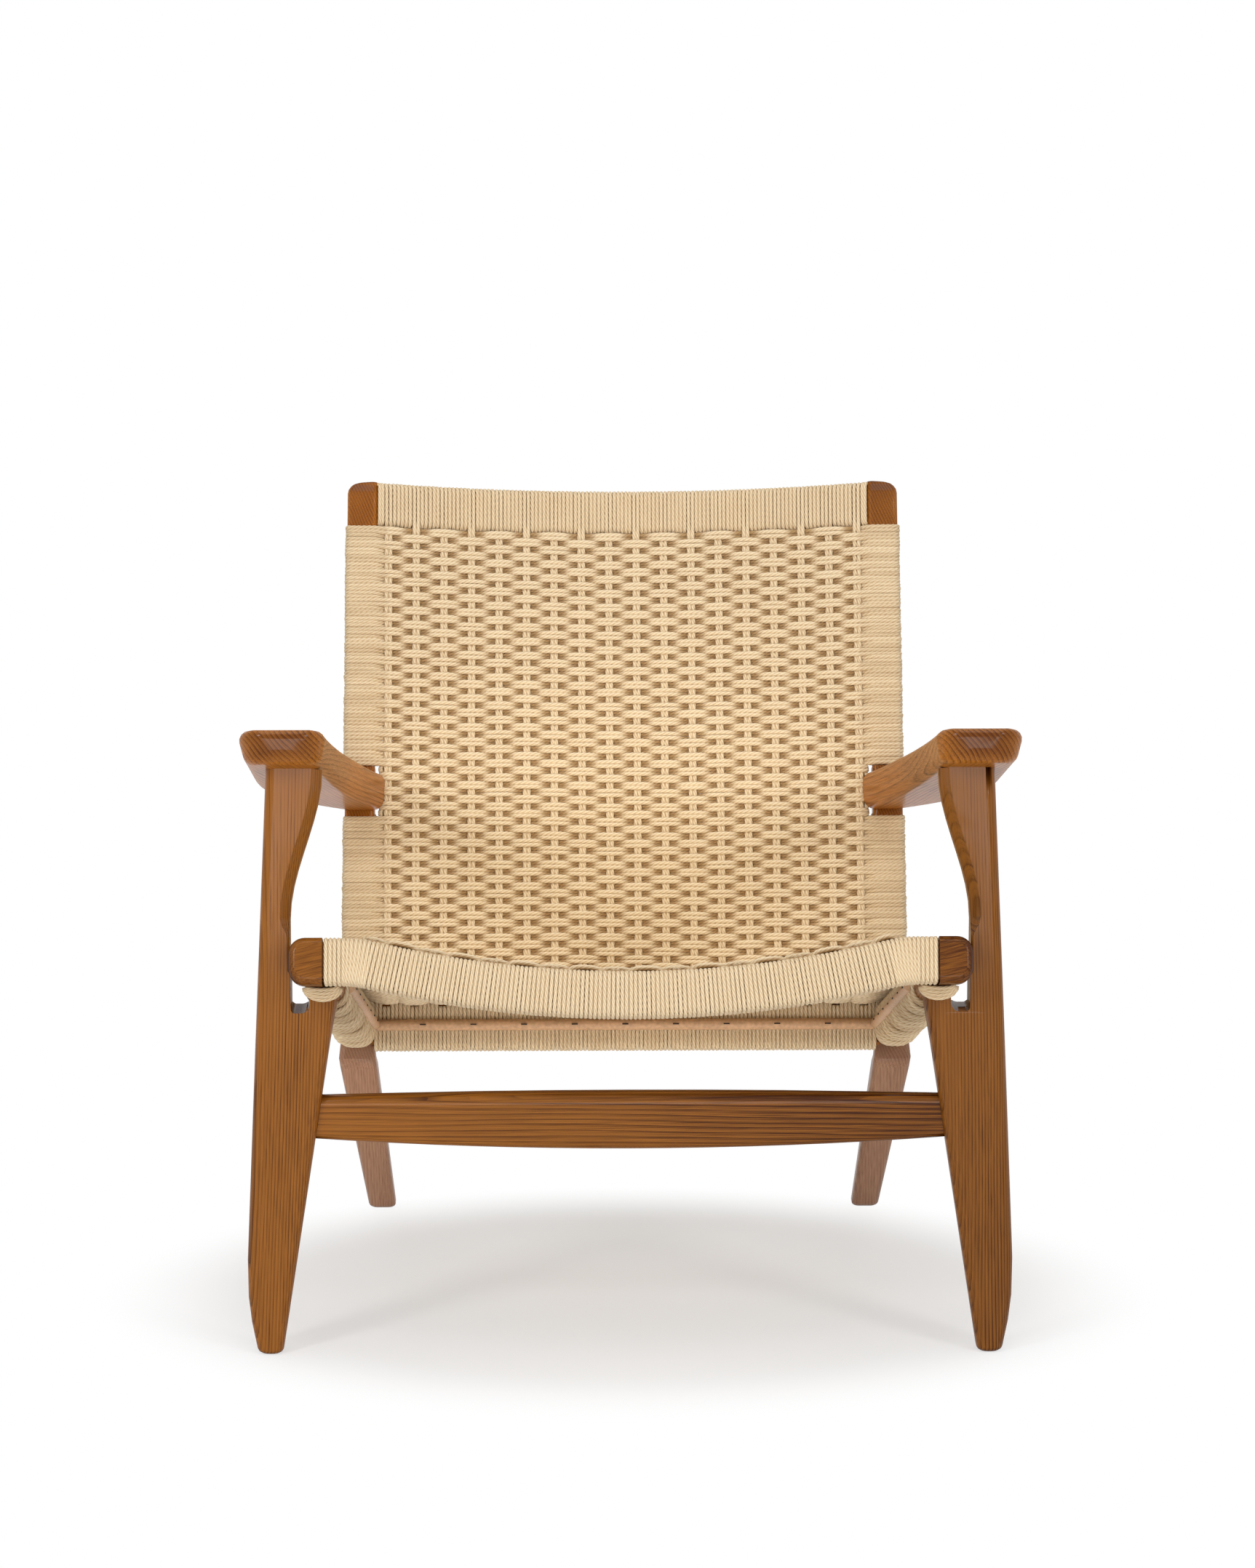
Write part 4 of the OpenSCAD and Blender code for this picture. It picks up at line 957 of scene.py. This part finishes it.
studio = {
    "cameraPlace": (-68.9 * mm, -5207.3 * mm, 1571.5 * mm),   # its depth is counted as in the chair
    "pitch": 11.185,
    "yaw": 0.727,
    "lens": 133.6,
    "floorSize": 40,
    "floorWhite": (0.9, 0.9, 0.9, 1),
    "shadowDepth": 0.2,                  # middle of the shaded floor, counted as in the chair
    "shadowReach": (0.47, 0.37),         # half its width and depth
    "shadowFade": (0.7, 1.1),            # where its edge starts and ends, in that reach
    "nearGlow": 0.38,                    # share of plain white in the middle of it
    "worldLight": 0.64,
}
lamps = {
    "leftSoftbox": {"place": (-2.2, -2.6, 2.0), "target": (0, 0, 0.4), "size": (0.6, 1.0), "power": 30},
    "rightSoftbox": {"place": (2.2, -2.6, 2.0), "target": (0, 0, 0.4), "size": (0.6, 1.0), "power": 25},
    "topSoftbox": {"place": (0, -0.4, 3.2), "target": (0, 0, 0.3), "size": (2.2, 2.2), "power": 32},
    "lowFill": {"place": (0, -2.6, 0.2), "target": (0, 0.2, 0.2), "size": (2.4, 0.3), "power": 14},
    "underSeat": {"place": (0, -0.22, 0.05), "target": (0, 0.15, 0.24), "size": (0.5, 0.06),
                  "power": 0.24, "spread": 100, "colour": (1, 0.93, 0.85)},
    "seatGlow": {"place": (0, -0.1, 0.42), "target": (0, 0.25, 0.42), "size": (0.46, 0.16),
                 "power": 0.32, "spread": 150, "colour": (1, 0.86, 0.62)},
}


def addCamera():
    camera = bpy.data.cameras.new("camera")
    camera.lens = studio["lens"]
    camera.sensor_width = 36
    holder = bpy.data.objects.new("camera", camera)
    bpy.context.scene.collection.objects.link(holder)
    x, depth, height = studio["cameraPlace"]
    holder.location = (x, depth + depthShift, height)
    holder.rotation_euler = (math.radians(90 - studio["pitch"]), 0, -math.radians(studio["yaw"]))
    bpy.context.scene.camera = holder


def addLamp(name, place, target, size, power, spread=180, colour=(1, 1, 1)):
    lamp = bpy.data.lights.new(name, "AREA")
    lamp.shape = "RECTANGLE"
    lamp.size, lamp.size_y = size
    lamp.energy = power
    lamp.spread = math.radians(spread)
    lamp.color = colour
    holder = bpy.data.objects.new(name, lamp)
    bpy.context.scene.collection.objects.link(holder)
    holder.location = place
    holder.rotation_euler = (Vector(target) - Vector(place)).to_track_quat("-Z", "Y").to_euler()
    holder.visible_camera = False


def behindLens(recipe):
    # 1 where the background is seen straight, in a reflection or through glass
    straightOn = recipe.add("ShaderNodeLightPath", {}, {}, "Is Camera Ray")
    return clamp01(straightOn + straightOn.other("Is Glossy Ray") + straightOn.other("Is Transmission Ray"))


def addFloor():
    bpy.ops.object.select_all(action="DESELECT")
    bpy.ops.mesh.primitive_plane_add(size=studio["floorSize"], location=(0, 0, 0))
    floor = bpy.context.object
    floor.name = "studioFloor"
    recipe = Recipe(bpy.data.materials.new("studioWhite"))
    place = recipe.add("ShaderNodeTexCoord", {}, {}, "Object")
    wide, deep = studio["shadowReach"]
    middle = (0, -(studio["shadowDepth"] + depthShift) / deep, 0)
    oval = recipe.add("ShaderNodeMapping", {}, {"Vector": place, "Scale": (1 / wide, 1 / deep, 1),
                                                "Location": middle})
    away = recipe.add("ShaderNodeVectorMath", {"operation": "LENGTH"}, {0: oval}, "Value")
    start, end = studio["shadowFade"]
    glow = recipe.add("ShaderNodeMapRange", {"interpolation_type": "SMOOTHSTEP"},
                      {0: away, 1: start, 2: end, 3: studio["nearGlow"], 4: 1.0})
    floor.data.materials.append(recipe.finish({"Base Color": studio["floorWhite"], "Roughness": 0.9},
                                              glow * behindLens(recipe)))
    floor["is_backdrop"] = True


def addWorld():
    world = bpy.data.worlds.new("studioWorld")
    bpy.context.scene.world = world
    recipe = Recipe(world)
    light = recipe.add("ShaderNodeBackground", {}, {"Strength": studio["worldLight"]})
    white = recipe.add("ShaderNodeBackground", {}, {"Color": (1, 1, 1, 1)})
    both = recipe.add("ShaderNodeMixShader", {}, {0: behindLens(recipe), 1: light, 2: white})
    recipe.add("ShaderNodeOutputWorld", {}, {"Surface": both})


addCamera()
addFloor()
addWorld()
for name, lamp in lamps.items():
    addLamp(name, **lamp)
bpy.context.scene.view_settings.view_transform = "Standard"
print("studio ready")

low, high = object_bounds()
print("visual model is", [round(v, 3) for v in (high - low)], "m")
